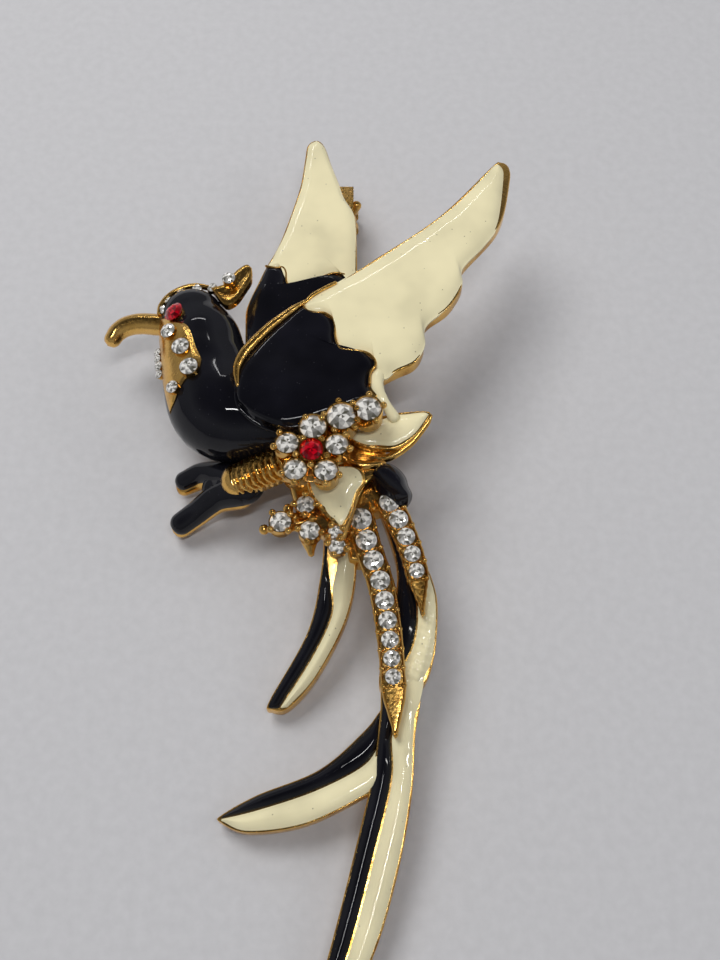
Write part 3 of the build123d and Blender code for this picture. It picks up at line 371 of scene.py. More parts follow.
def make_finishes():
    colours = bpy.context.scene.pin_colours
    gold = tuple(colours.gold)
    cream = tuple(colours.cream)
    black = tuple(colours.black)
    red = tuple(colours.red)
    plated_gold("gold_casting", gold, 0.14, 0.16)
    plated_gold("gold_setting", scaled(gold, 0.92), 0.12, 0.14)
    plated_gold("gold_fitting", scaled(gold, 0.86), 0.22, 0.16)
    plated_gold("pin_wire", (0.74, 0.60, 0.36), 0.18, 0.1)
    fired_enamel(
        "cream_enamel", (scaled(cream, 0.90), cream, tuple(min(1, part * 1.06) for part in cream)),
        scaled(cream, 0.42), 900, 0.42)
    fired_enamel(
        "black_enamel", (black, scaled(black, 1.4), scaled(black, 2.0)), (0.03, 0.03, 0.035), 1300, 0.3)
    # the two colours per stone are the dark and bright ends of the painted reflections on its faces
    cut_glass("clear_stone", (0.10, 0.095, 0.07), (0.97, 0.95, 0.90), 0.15)
    cut_glass("red_stone", scaled(red, 0.18), red, 0.35)


def dress(piece, finish, body="root", nodes=()):
    """Give a finished piece its material, its body and the nodes it stands for."""
    piece.data.materials.clear()
    piece.data.materials.append(bpy.data.materials[finish + "_finish"])
    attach(piece, body)
    if nodes:
        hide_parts(*nodes)
    return piece


# ---------------------------------------------------------------- shaping


def free():
    if bpy.context.object is not None and bpy.context.object.mode != "OBJECT":
        bpy.ops.object.mode_set(mode="OBJECT")
    bpy.ops.object.select_all(action="DESELECT")


def take(*pieces):
    free()
    for piece in pieces:
        piece.select_set(True)
    bpy.context.view_layer.objects.active = pieces[0]


def named(name):
    piece = bpy.context.object
    piece.name = name
    piece.data.name = name
    return piece


def closed(piece, sharp=35.0):
    """Merge doubles, turn the faces outwards and smooth all but the sharp edges."""
    take(piece)
    bpy.ops.object.mode_set(mode="EDIT")
    bpy.ops.mesh.select_all(action="SELECT")
    bpy.ops.mesh.remove_doubles(threshold=0.004 * MM)
    bpy.ops.mesh.dissolve_degenerate(threshold=0.002 * MM)
    bpy.ops.mesh.normals_make_consistent(inside=False)
    bpy.ops.object.mode_set(mode="OBJECT")
    bpy.ops.object.shade_smooth_by_angle(angle=math.radians(sharp))
    return piece


def curve_at(points, share):
    """Point on the smooth line through some points, at a share of its number of spans."""
    spans = len(points) - 1
    place = min(max(share, 0.0), 1.0) * spans
    index = min(int(place), spans - 1)
    part = place - index
    p1 = Vector(points[index])
    p2 = Vector(points[index + 1])
    p0 = Vector(points[index - 1]) if index > 0 else p1 * 2 - p2
    p3 = Vector(points[index + 2]) if index + 2 <= spans else p2 * 2 - p1
    return 0.5 * (
        2 * p1 + (p2 - p0) * part + (2 * p0 - 5 * p1 + 4 * p2 - p3) * part ** 2
        + (3 * p1 - p0 - 3 * p2 + p3) * part ** 3)


def evenly(points, steps):
    """Smooth line through some points, cut into equal lengths."""
    fine = [curve_at(points, index / 400) for index in range(401)]
    runs = [0.0]
    for first, second in zip(fine, fine[1:]):
        runs.append(runs[-1] + (second - first).length)
    found = []
    index = 0
    for step in range(steps + 1):
        target = runs[-1] * step / steps
        while index < 399 and runs[index + 1] < target:
            index += 1
        span = max(runs[index + 1] - runs[index], 1e-9)
        found.append(fine[index].lerp(fine[index + 1], min(max((target - runs[index]) / span, 0), 1)))
    return found


def level(height):
    return lambda x, y: height


def tilted(x0, y0, z0, slope_x, slope_y):
    """Plane through a point, with its rise along X and along Y in degrees."""
    rise_x = math.tan(math.radians(slope_x))
    rise_y = math.tan(math.radians(slope_y))
    return lambda x, y: z0 + (x - x0) * rise_x + (y - y0) * rise_y


def plate(name, outline, under, thickness, edge=0.18, steps=160):
    """Cast plate with softened edges."""
    free()
    bpy.ops.mesh.primitive_circle_add(vertices=steps, radius=1, fill_type="NGON")
    piece = named(name)
    rim = evenly(list(outline) + [outline[0]], steps)
    for vertex, spot in zip(piece.data.vertices, rim):
        vertex.co = (spot.x * MM, spot.y * MM, under(spot.x, spot.y) * MM)
    bpy.ops.object.mode_set(mode="EDIT")
    bpy.ops.mesh.select_all(action="SELECT")
    bpy.ops.mesh.extrude_region_move(TRANSFORM_OT_translate={"value": (0, 0, thickness * MM)})
    bpy.ops.mesh.region_to_loop()
    bpy.ops.mesh.bevel(offset=edge * MM, segments=3, clamp_overlap=True)
    bpy.ops.object.mode_set(mode="OBJECT")
    return closed(piece, 40)


def panel(name, sides, rows, cols, margins, lift, under, sink=0.25):
    """Domed panel between two edges that meet at their ends; lift(x, y, depth) is its height."""
    free()
    bpy.ops.mesh.primitive_grid_add(x_subdivisions=cols, y_subdivisions=rows, size=2)
    piece = named(name)
    first = evenly(sides[0], rows)
    second = evenly(sides[1], rows)
    total = sum((b - a).length for a, b in zip(first, first[1:]))
    end = min(0.2, 0.6 * max(margins) / total)
    for vertex in piece.data.vertices:
        u = (vertex.co.x + 1) / 2
        v = end + (1 - 2 * end) * (vertex.co.y + 1) / 2
        row = min(int(v * rows), rows - 1)
        part = v * rows - row
        a = first[row].lerp(first[row + 1], part)
        b = second[row].lerp(second[row + 1], part)
        width = max((b - a).length, 1e-6)
        low = min(margins[0] / width, 0.42)
        high = 1 - min(margins[1] / width, 0.42)
        eased = 0.5 - 0.5 * math.cos(math.pi * u)
        spot = a.lerp(b, low + (high - low) * (0.35 * u + 0.65 * eased))
        depth = min(eased, 1 - eased) * width * (high - low)
        run = min(vertex.co.y + 1, 1 - vertex.co.y) / 2 * total
        depth = min(depth, run)
        vertex.co = (spot.x * MM, spot.y * MM, lift(spot.x, spot.y, depth) * MM)
    bpy.ops.object.mode_set(mode="EDIT")
    bpy.ops.mesh.select_all(action="SELECT")
    bpy.ops.mesh.extrude_region_move(TRANSFORM_OT_translate={"value": (0, 0, -0.01 * MM)})
    bpy.ops.object.mode_set(mode="OBJECT")
    for vertex in piece.data.vertices:
        if vertex.select:
            vertex.co.z = (under(vertex.co.x / MM, vertex.co.y / MM) - sink) * MM
    return closed(piece, 50)


def crowned(base, crown, run=0.55):
    """Height of pooled enamel: quick rise at its edge, nearly flat inside."""
    return lambda x, y, depth: base(x, y) + crown * (1 - math.exp(-depth / run))


def swept(name, stations, rings=40, segments=28, wide=1.0, tall=1.0, ripple=None):
    """Rounded form along a line of stations (x, y, z, radius), from a sphere stretched over it."""
    free()
    bpy.ops.mesh.primitive_uv_sphere_add(segments=segments, ring_count=rings, radius=1)
    piece = named(name)
    fine = evenly([station[:3] for station in stations], 200)
    shares = [0.0]
    for first, second in zip(stations, stations[1:]):
        shares.append(shares[-1] + (Vector(second[:3]) - Vector(first[:3])).length)
    length = shares[-1]
    head = stations[0][3]
    tail = stations[-1][3]
    for vertex in piece.data.vertices:
        turn = math.atan2(vertex.co.y, vertex.co.x)
        share = math.acos(max(-1, min(1, vertex.co.z))) / math.pi
        whole = head + length + tail
        run = share * whole - head
        along = min(max(run / length, 0.0), 1.0)
        index = min(int(along * 200), 199)
        spot = fine[index].lerp(fine[index + 1], along * 200 - index)
        ahead = (fine[min(index + 1, 200)] - fine[max(index - 1, 0)]).normalized()
        radius = radius_at(stations, shares, along * length)
        if run < 0:
            radius *= math.sqrt(max(1 - (run / head) ** 2, 0))
            spot = spot + ahead * run
        elif run > length:
            radius *= math.sqrt(max(1 - ((run - length) / tail) ** 2, 0))
            spot = spot + ahead * (run - length)
        side = ahead.cross(Vector((0, 0, 1))).normalized()
        up = side.cross(ahead).normalized()
        if ripple is not None:
            radius *= ripple(run / length, turn)
        spot = spot + side * (math.cos(turn) * radius * wide) + up * (math.sin(turn) * radius * tall)
        vertex.co = spot * MM
    return closed(piece, 60)


def radius_at(stations, shares, run):
    for index in range(len(stations) - 1):
        if run <= shares[index + 1] or index == len(stations) - 2:
            part = (run - shares[index]) / (shares[index + 1] - shares[index])
            part = min(max(part, 0.0), 1.0)
            eased = part * part * (3 - 2 * part)
            start = stations[index][3]
            rise = stations[index + 1][3] - start
            return start + rise * (0.5 * part + 0.5 * eased)


def cut_flat(piece, height):
    """Slice off what lies below a height and close it."""
    take(piece)
    bpy.ops.object.mode_set(mode="EDIT")
    bpy.ops.mesh.select_all(action="SELECT")
    bpy.ops.mesh.bisect(
        plane_co=(0, 0, height * MM), plane_no=(0, 0, 1), use_fill=True, clear_inner=True,
        clear_outer=False)
    bpy.ops.object.mode_set(mode="OBJECT")
    return closed(piece, 50)


def joined(name, pieces):
    take(*pieces)
    if len(pieces) > 1:
        bpy.ops.object.join()
    return named(name)


def copy_of(pattern, move):
    """Copy with its own mesh, moved by a matrix."""
    piece = pattern.copy()
    piece.data = pattern.data.copy()
    bpy.context.collection.objects.link(piece)
    piece.data.transform(move)
    return piece


def drop(*pieces):
    for piece in pieces:
        mesh = piece.data
        bpy.data.objects.remove(piece)
        bpy.data.meshes.remove(mesh)


def facing(normal):
    """Turn that points +Z along a normal."""
    return Vector((0, 0, 1)).rotation_difference(Vector(normal).normalized()).to_matrix().to_4x4()


def spot_matrix(x, y, z, size, normal=(0, 0, 1), spin=0.0):
    place = Matrix.Translation((x * MM, y * MM, z * MM))
    return place @ facing(normal) @ Matrix.Rotation(spin, 4, "Z") @ Matrix.Scale(size, 4)


def brilliant():
    """One round brilliant, one millimetre across, its girdle at height nought."""
    free()
    rings = [(1, 0.0, 0.186, 0.0), (8, 0.15, 0.181, 0.5), (8, 0.29, 0.16, 0.0), (8, 0.40, 0.095, 0.5),
             (16, 0.50, 0.02, 0.25), (16, 0.50, -0.02, 0.25), (8, 0.24, -0.22, 0.0), (8, 0.03, -0.38, 0.0)]
    loops = []
    for count, reach, height, shift in rings:
        bpy.ops.object.select_all(action="DESELECT")
        bpy.ops.mesh.primitive_circle_add(vertices=max(count, 3), radius=max(reach, 0.002) * MM)
        ring = bpy.context.object
        ring.data.transform(
            Matrix.Translation((0, 0, height * MM)) @ Matrix.Rotation(shift * math.tau / count, 4, "Z"))
        loops.append(ring)
    gem = joined("brilliant_pattern", loops)
    bpy.ops.object.mode_set(mode="EDIT")
    bpy.ops.mesh.select_all(action="SELECT")
    bpy.ops.mesh.convex_hull(join_triangles=True, face_threshold=math.radians(1),
        shape_threshold=math.radians(1))
    bpy.ops.mesh.normals_make_consistent(inside=False)
    bpy.ops.object.mode_set(mode="OBJECT")
    # random brightness per face for the stone finish: painted glints and painted dark reflections, not the
    # glass's own colour
    tone = gem.data.attributes.new("facet_glint", "FLOAT", "FACE")
    for face in gem.data.polygons:
        tone.data[face.index].value = (math.sin(face.index * 12.9898) * 43758.5453) % 1.0
    return gem


def cup():
    """One gold cup for a stone one millimetre across."""
    free()
    bpy.ops.mesh.primitive_cylinder_add(vertices=24, radius=0.40 * MM, depth=0.5 * MM,
        location=(0, 0, -0.25 * MM))
    piece = named("cup_pattern")
    bpy.ops.object.transform_apply(location=True, rotation=True, scale=True)
    for face in piece.data.polygons:
        face.select = face.normal.z > 0.9
    bpy.ops.object.mode_set(mode="EDIT")
    bpy.ops.mesh.select_mode(type="FACE")
    bpy.ops.transform.resize(value=(1.34, 1.34, 1.0))
    bpy.ops.mesh.extrude_region_move(TRANSFORM_OT_translate={"value": (0, 0, 0.08 * MM)})
    bpy.ops.transform.resize(value=(0.97, 0.97, 1.0))
    bpy.ops.mesh.inset(thickness=0.04 * MM, depth=0)
    bpy.ops.mesh.inset(thickness=0.05 * MM, depth=-0.16 * MM)
    bpy.ops.object.mode_set(mode="OBJECT")
    return closed(piece, 50)


def ball(segments=12, rings=8):
    free()
    bpy.ops.mesh.primitive_uv_sphere_add(segments=segments, ring_count=rings, radius=MM)
    piece = named("ball_pattern")
    bpy.ops.object.shade_smooth()
    return piece


def body_top(x, y, extra=0.0):
    """Height and outward normal of the body's skin over a point, or of a skin a little outside it."""
    best = BACK_Z + 1.4
    normal = Vector((-0.8, 0, 0.6))
    for index in range(81):
        spot = curve_at([station[:3] for station in BODY], index / 80)
        place = index / 80 * (len(BODY) - 1)
        low = min(int(place), len(BODY) - 2)
        radius = BODY[low][3] + (BODY[low + 1][3] - BODY[low][3]) * (place - low)
        radius += extra
        reach = radius ** 2 - (x - spot.x) ** 2 - (y - spot.y) ** 2
        if reach > 0 and spot.z + math.sqrt(reach) > best:
            best = spot.z + math.sqrt(reach)
            normal = Vector((x - spot.x, y - spot.y, best - spot.z)).normalized()
    return best, normal


# ---------------------------------------------------------------- the pieces


def feather(name, left, middle, right, under, sizes, thickness=1.9, second=None, dimples=0.0):
    """One tail feather: gold tray, black stripe on its left and cream stripe on its right."""
    top = lambda x, y: under(x, y) + thickness - 0.35
    outline = list(left) + list(reversed(right))
    if left[-1] == right[-1]:
        outline = list(left) + list(reversed(right[:-1]))
    tray = plate(name + "_tray", outline, under, thickness - 0.3, 0.14)
    dress(tray, "gold_casting", nodes=[name])
    rim = sizes.rim / MM
    crown = sizes.crown / MM
    smooth = crowned(top, crown + 0.2)

    def cream_height(x, y, depth):
        lump = math.sin(x * 5.1 + y * 2.3) * math.sin(y * 4.3 - x * 1.7)
        return smooth(x, y, depth) + dimples * lump * (1 - math.exp(-depth / 0.3))

    black = panel(
        name + "_black_stripe", (left, middle), 80, 12, (rim, -0.03), crowned(top, crown + 0.25), top)
    dress(black, "black_enamel", nodes=[name + "_black_enamel"])
    cream = panel(
        name + "_cream_stripe", (second or middle, right), 110, 16, (0.0, rim), cream_height, top)
    dress(cream, "cream_enamel", nodes=[name + "_cream_enamel"])


def strand(name, points, under, count, sizes, half, first, gaps, stones):
    """Tapered channel with beaded edges, cross bars and a row of stones that get smaller."""
    steps = 60
    line = evenly(points, steps)
    length = sum((b - a).length for a, b in zip(line, line[1:]))

    def frame_at(run):
        place = min(max(run / length, 0), 1) * steps
        index = min(int(place), steps - 1)
        spot = line[index].lerp(line[index + 1], place - index)
        ahead = (line[min(index + 1, steps)] - line[max(index - 1, 0)]).normalized()
        return spot, ahead, Vector((-ahead.y, ahead.x))

    def width(run):
        return half * (1 - 0.22 * run / length) * min(1.0, max((length - run) / 4.0, 0.06))

    left = []
    right = []
    for index in range(17):
        run = length * index / 16
        spot, ahead, side = frame_at(run)
        left.append(tuple(spot + side * width(run)))
        right.append(tuple(spot - side * width(run)))
    parts = [plate(name + "_channel", left + list(reversed(right)), under, 0.95, 0.15)]
    bead = ball(8, 6)
    gem = brilliant()
    seat = cup()
    radius = sizes.bead / MM
    for side in (left, right):
        rail = [(x, y, under(x, y) + 1.0, radius * 0.95) for x, y in side]
        parts.append(swept(name + "_rail", rail, 90, 8, 0.8, 1.3, lambda along,
            turn: 1 + 0.16 * math.sin(along * 90)))
    gems = []
    normal = Vector((under(0, 0) - under(1, 0), under(0, 0) - under(0, 1), 1)).normalized()
    run = first
    for index in range(count):
        share = index / max(count - 1, 1)
        gap = gaps[0] + (gaps[1] - gaps[0]) * share
        size = stones[0] + (stones[1] - stones[0]) * share
        spot, ahead, side = frame_at(run)
        height = under(spot.x, spot.y) + 1.3
        spin = math.atan2(ahead.y, ahead.x) + 0.4 * index
        gems.append(copy_of(gem, spot_matrix(spot.x, spot.y, height, size, normal, spin)))
        parts.append(copy_of(seat, spot_matrix(spot.x, spot.y, height - 0.08, size * 0.92, normal)))
        spot, ahead, side = frame_at(run + gap / 2)
        for step in (-0.95, -0.55, 0.0, 0.55, 0.95):
            place = spot + side * width(run + gap / 2) * step
            height = under(place.x, place.y) + 1.12
            grow = 1.5 if abs(step) > 0.9 else 1.0
            parts.append(copy_of(bead, spot_matrix(place.x, place.y, height, radius * grow)))
        run += gap
    drop(bead, gem, seat)
    dress(joined(name + "_gold", parts), "gold_setting", nodes=[name])
    dress(joined(name + "_gems", gems), "clear_stone", nodes=[name + "_stones"])


class PIN_OT_body(bpy.types.Operator):
    """Head and body in one smooth black form"""

    bl_idname = "pin.body"
    bl_label = "Body"

    def execute(self, context):
        form = swept("body_form", BODY, 56, 40)
        cut_flat(form, BACK_Z)
        dress(form, "black_enamel", nodes=["body_enamel"])
        return {"FINISHED"}


class PIN_OT_head(bpy.types.Operator):
    """Beak, crest, throat stones and eye"""

    bl_idname = "pin.head"
    bl_label = "Head"

    def execute(self, context):
        def keel(along, turn):
            return 1.0 + 0.10 * max(math.sin(turn), 0) ** 8

        beak = swept("beak_horn", BEAK, 40, 32, 0.95, 1.0, keel)
        dress(beak, "gold_casting", nodes=["beak"])

        rod = [(x, y, 9.7, 0.3) for x, y in CREST_LINE]
        band = swept("crest_band", rod, 60, 14, 1.0, 1.3)

        def crest_height(x, y, depth):
            return 10.1 + 0.5 * (1 - math.exp(-depth / 0.35)) - 0.75 * (1 - math.exp(-depth / 1.1))

        leaf = panel("crest_leaf", CREST_LEAF, 50, 14, (0.0, 0.0), crest_height, level(9.1), 0.0)
        dress(joined("crest_gold", [leaf, band]), "gold_casting", nodes=["crest"])

        def throat_height(x, y, depth):
            return body_top(x, y,
                0.12)[0] + 0.32 * (1 - math.exp(-depth / 0.3)) - 0.12 * (1 - math.exp(-depth / 1.0))

        plate_piece = panel("throat_gold", THROAT, 60, 16, (0.0, 0.0), throat_height, level(7.6), 0.0)
        dress(plate_piece, "gold_casting", nodes=["throat_plate"])

        gem = brilliant()
        seat = cup()
        gems = []
        seats = []
        for index, (x, y) in enumerate(CREST_STONES):
            gems.append(copy_of(gem, spot_matrix(x, y, 9.9, 1.15, spin=index)))
            seats.append(copy_of(seat, spot_matrix(x, y, 9.85, 1.1)))
        x, y = CREST_TIP_STONE
        gems.append(copy_of(gem, spot_matrix(x, y, 10.9, 1.5)))
        seats.append(copy_of(seat, spot_matrix(x, y, 10.85, 1.4)))
        dress(joined("crest_gems", gems), "clear_stone", nodes=["crest_stones"])
        dress(joined("crest_cups", seats), "gold_setting")

        gems = []
        seats = []
        for index, (x, y, size) in enumerate(THROAT_STONES + EDGE_STONES):
            z, normal = body_top(x, y)
            normal = (normal + Vector((0, 0, 0.9))).normalized()
            spot = Vector((x, y, z)) + normal * (0.75 if size > 1.2 else 0.45)
            gems.append(copy_of(gem, spot_matrix(*spot, size, normal, index)))
            seats.append(copy_of(seat, spot_matrix(*(spot - normal * 0.05), size * 0.98, normal)))
        dress(joined("throat_gems", gems), "clear_stone", nodes=["throat_stones"])
        dress(joined("throat_cups", seats), "gold_setting")

        x, y, size = EYE
        z, normal = body_top(x, y)
        spot = Vector((x, y, z)) + normal * 0.45
        eye = copy_of(gem, spot_matrix(*spot, size, normal))
        ring = copy_of(seat, spot_matrix(*(spot - normal * 0.35), size * 0.8, normal))
        eye = joined("eye_gem", [eye])
        ring = joined("eye_cup", [ring])
        dress(eye, "red_stone", nodes=["eye_stone"])
        dress(ring, "gold_setting", nodes=["eye_setting"])
        drop(gem, seat)
        return {"FINISHED"}


class PIN_OT_wings(bpy.types.Operator):
    """Both wings: gold backs, cream and black enamel and the raised ridge"""

    bl_idname = "pin.wings"
    bl_label = "Wings"

    def execute(self, context):
        sizes = context.scene.pin_sizes
        rim = sizes.rim / MM
        crown = sizes.crown / MM

        def near_under(x, y):
            lean = max(0.0, (y - 26.0) / 19.0)
            return 12.6 - 0.5 * lean

        near_top = lambda x, y: near_under(x, y) + 1.55
        back = plate("near_wing_plate", NEAR_WING_BACK, near_under, 1.6, 0.2, 240)
        dress(back, "gold_casting", nodes=["near_wing"])
        cream = panel(
            "near_wing_cream", NEAR_WING_CREAM, 160, 26, (rim, rim), crowned(near_top, crown + 0.2, 0.75),
            near_top)
        neck = swept("near_wing_neck", WING_NECK, 30, 16, 1.0, 0.8)
        cream = joined("near_wing_cream", [cream, neck])
        dress(cream, "cream_enamel", nodes=["near_wing_cream_enamel"])

        def black_height(x, y, depth):
            height = near_top(x, y) + (crown + 0.35) * (1 - math.exp(-depth / 0.45))
            height -= 0.35 * (1 - math.exp(-depth / 1.6))
            swell = math.hypot((x + 2.2) / 2.6, (y - 15.6) / 3.2)
            height += 0.42 * math.exp(-swell ** 2)
            return min(height, 15.4)

        black = panel(
            "near_wing_black", NEAR_WING_BLACK, 110, 34, (0.0, 0.0), black_height, level(12.7), 0.0)
        line = swept("near_wing_underline", [(*spot, 0.26) for spot in UNDERLINE], 50, 14)
        dress(joined("near_wing_black", [black, line]), "black_enamel", nodes=["near_wing_black_enamel"])

        stations = []
        for index, (x, y) in enumerate(NEAR_WING_RIDGE):
            share = index / (len(NEAR_WING_RIDGE) - 1)
            stations.append((x, y, 14.5 + 0.15 * math.sin(math.pi * share),
                0.22 + 0.45 * math.sin(math.pi * share) ** 0.7))
        ridge = swept("near_wing_crest_line", stations, 60, 16, 0.85, 1.0)
        line = swept("near_wing_line", [(x, y, 14.25, 0.2) for x, y in WING_LINE], 30, 12)
        divider = swept("near_wing_divider", [(x, y, 14.5, 0.13) for x, y in NEAR_DIVIDER], 120, 10, 1.0,
            1.6)
        dress(joined("near_wing_crest_line", [ridge, line, divider]), "gold_casting",
            nodes=["near_wing_ridge"])

        far_under = level(BACK_Z)
        far_top = level(BACK_Z + 1.6)
        back = plate("far_wing_plate", FAR_WING_BACK, far_under, 1.65, 0.2, 200)
        dress(back, "gold_casting", nodes=["far_wing"])
        cream = panel(
            "far_wing_cream", FAR_WING_CREAM, 90, 14, (rim, rim), crowned(far_top, crown, 0.4), far_top)
        dress(cream, "cream_enamel", nodes=["far_wing_cream_enamel"])
        black = panel(
            "far_wing_black", FAR_WING_BLACK, 90, 18, (rim, 0.0), crowned(far_top, crown + 0.15, 0.4),
            far_top)
        dress(black, "black_enamel", nodes=["far_wing_black_enamel"])
        line = swept("far_wing_divider", [(x, y, 8.1, 0.13) for x, y in FAR_DIVIDER[:10]], 90, 10, 1.0, 1.6)
        dress(line, "gold_casting")
        return {"FINISHED"}


class PIN_OT_feet(bpy.types.Operator):
    """Ribbed leg, claws with gold undersides and the far foot"""

    bl_idname = "pin.feet"
    bl_label = "Feet"

    def execute(self, context):
        def ribs(along, turn):
            if along < 0.0 or along > 1.0:
                return 1.0
            shift = 0.22 * math.sin(turn * 2.3) + 0.12 * math.sin(turn * 7.0)
            band = abs(math.sin((along * 10 + shift) * math.pi))
            notch = abs(math.sin(turn * 9 + (int(along * 10) % 2) * 1.5))
            return 0.82 + 0.17 * band ** 0.6 * (0.6 + 0.4 * notch ** 0.5)

        leg = swept("leg_cuff", LEG, 110, 64, 1.0, 1.0, ribs)
        dress(leg, "gold_casting", nodes=["near_leg"])

        toes = [swept("upper_toe", UPPER_TOE, 36, 24), swept("lower_toe", LOWER_TOE, 36, 24)]
        toes.append(swept("palm", PALM, 30, 28, 1.0, 0.75))
        dress(joined("claw_black", toes), "black_enamel", nodes=["near_claw_enamel"])
        soles = []
        for name, stations, fall in (("upper_sole", UPPER_TOE, 0.35), ("lower_sole", LOWER_TOE, 0.1)):
            lowered = [(x - 0.05, y - fall, max(z - 0.6, radius * 0.8 + 0.02), radius * 0.98)
                       for x, y, z, radius in stations]
            soles.append(swept(name, lowered, 36, 24, 1.0, 0.78))
        dress(joined("claw_gold", soles), "gold_casting", nodes=["near_claw"])

        def dome(x, y, depth):
            return 10.3 + 2.3 * (1 - math.exp(-depth / 0.75))

        foot = panel("far_foot_dome", FAR_FOOT, 30, 14, (0.0, 0.0), dome, level(9.5), 0.0)
        dress(foot, "black_enamel", nodes=["far_foot_enamel"])
        shank = swept("far_foot_shank", FAR_SHANK, 30, 20)
        knuckle = swept("far_foot_knuckle", [(7.7, 7.3, 10.9, 0.6), (8.1, 7.5, 11.0, 0.6)], 16, 16)
        post = swept("far_foot_post", [(9.4, 5.4, 8.2, 0.9), (9.45, 5.4, 10.0, 0.9)], 16, 20)
        dress(joined("far_foot_gold", [shank, knuckle, post]), "gold_casting", nodes=["far_foot"])
        return {"FINISHED"}


class PIN_OT_feathers(bpy.types.Operator):
    """The four tail feathers"""

    bl_idname = "pin.feathers"
    bl_label = "Tail feathers"

    def execute(self, context):
        sizes = context.scene.pin_sizes
        tail = tilted(0, -2.0, BACK_Z, 0, 6.8)
        lower = tilted(8.6, -17.0, 3.55, 9.5, 0)
        feather("main_feather", MAIN_LEFT, MAIN_MIDDLE, MAIN_RIGHT, tail, sizes)
        feather("right_feather", RIGHT_LEFT, RIGHT_MIDDLE, RIGHT_RIGHT, tail, sizes, dimples=0.12)
        merge = panel("tail_merge", TAIL_MERGE, 40, 14, (0.0, 0.0),
            crowned(lambda x, y: tail(x, y) + 1.6, 0.42), tail)
        dress(merge, "cream_enamel")
        feather("lower_feather", LOWER_LEFT, LOWER_MIDDLE, LOWER_RIGHT, lower, sizes, 1.85)
        feather("short_feather", SHORT_LEFT, SHORT_BLACK, SHORT_RIGHT,
                tilted(2.6, 0.4, BACK_Z + 0.8, 0, 19.8), sizes, second=SHORT_CREAM)
        return {"FINISHED"}


class PIN_OT_strands(bpy.types.Operator):
    """The two strands of stones laid over the tail"""

    bl_idname = "pin.strands"
    bl_label = "Stone strands"

    def execute(self, context):
        sizes = context.scene.pin_sizes
        over = tilted(0, -2.0, BACK_Z + 1.9, 0, 6.8)
        strand("long_strand", LONG_STRAND, over, 9, sizes, 1.35, 1.7, (2.35, 1.75), (2.3, 1.6))
        strand("short_strand", SHORT_STRAND, over, 5, sizes, 1.25, 0.9, (2.1, 1.75), (2.15, 1.6))
        return {"FINISHED"}


class PIN_OT_flower(bpy.types.Operator):
    """Flower, buds and sprig: gold cups, prongs, balls and stones"""

    bl_idname = "pin.flower"
    bl_label = "Flower spray"

    def execute(self, context):
        prong = context.scene.pin_sizes.prong / MM
        gem = brilliant()
        seat = cup()
        bead = ball()

        def setting(x, y, z, size, claws, turn, parts, gems, deep=1.0):
            gems.append(copy_of(gem, spot_matrix(x, y, z, size, spin=turn)))
            stretch = Matrix.Diagonal((1, 1, deep, 1))
            parts.append(copy_of(seat, spot_matrix(x, y, z - 0.04, size * 1.02) @ stretch))
            for index in range(claws):
                angle = turn + index * math.tau / claws
                reach = size * 0.58
                parts.append(copy_of(bead, spot_matrix(
                    x + reach * math.cos(angle), y + reach * math.sin(angle), z + 0.12, prong)))

        petals = []
        parts = []
        for index in range(5):
            angle = math.radians(PETAL_TURN + 72 * index)
            x = FLOWER[0] + PETAL_REACH * math.cos(angle)
            y = FLOWER[1] + PETAL_REACH * math.sin(angle)
            size = 2.8 if index == 0 else 2.4
            setting(x, y + 0.12 * (index == 0), FLOWER[2] - 0.25, size, 0, angle, parts, petals, 1.5)
            for sign in (-1, 1):
                turn = angle + sign * 0.62
                parts.append(copy_of(bead, spot_matrix(
                    x + 1.42 * math.cos(turn), y + 1.42 * math.sin(turn), FLOWER[2] - 0.1, prong)))
            between = angle + math.radians(36)
            parts.append(copy_of(bead, spot_matrix(
                FLOWER[0] + 1.62 * math.cos(between), FLOWER[1] + 1.62 * math.sin(between), FLOWER[2],
                prong)))
        centre = []
        setting(FLOWER[0], FLOWER[1], FLOWER[2], 2.5, 0, 0.3, parts, centre, 1.8)
        free()
        bpy.ops.mesh.primitive_cone_add(
            vertices=32, radius1=1.2 * MM, radius2=2.9 * MM, depth=3.6 * MM,
            location=(FLOWER[0] * MM, FLOWER[1] * MM, 13.1 * MM))
        neck = named("flower_neck")
        bpy.ops.object.transform_apply(location=True, rotation=True, scale=True)
        bpy.ops.object.mode_set(mode="EDIT")
        bpy.ops.mesh.select_all(action="SELECT")
        bpy.ops.mesh.bevel(offset=0.3 * MM, segments=3, clamp_overlap=True)
        bpy.ops.object.mode_set(mode="OBJECT")
        parts.insert(0, closed(neck, 40))
        dress(joined("flower_gold", parts), "gold_setting", nodes=["flower_setting"])
        dress(joined("flower_petal_gems", petals), "clear_stone", nodes=["flower_petal_stones"])
        dress(joined("flower_centre_gem", centre), "red_stone", nodes=["flower_centre_stone"])

        parts = []
        gems = []
        for index, (x, y) in enumerate(BUDS):
            setting(x, y, BUD_Z, 3.15 - 0.25 * index, 5, 0.5 + index, parts, gems, 1.4)
            post = swept("bud_post", [(x, y, 11.0, 0.9), (x, y + 0.05, 14.6, 1.1)], 12, 20)
            parts.append(post)
        dress(joined("bud_gold", parts), "gold_setting", nodes=["bud_setting"])
        dress(joined("bud_gems", gems), "clear_stone", nodes=["bud_stones"])

        parts = []
        gems = []
        for index, (x, y, size) in enumerate(SPRIG):
            setting(x, y, SPRIG_Z, size, 4, 0.7 * index, parts, gems)
        for x, y in SPRIG_BALLS:
            parts.append(copy_of(bead, spot_matrix(x, y, 11.6, 0.55)))
        dress(joined("sprig_gold", parts), "gold_setting", nodes=["sprig_setting"])
        dress(joined("sprig_gems", gems), "clear_stone", nodes=["sprig_stones"])
        drop(gem, seat, bead)
        return {"FINISHED"}


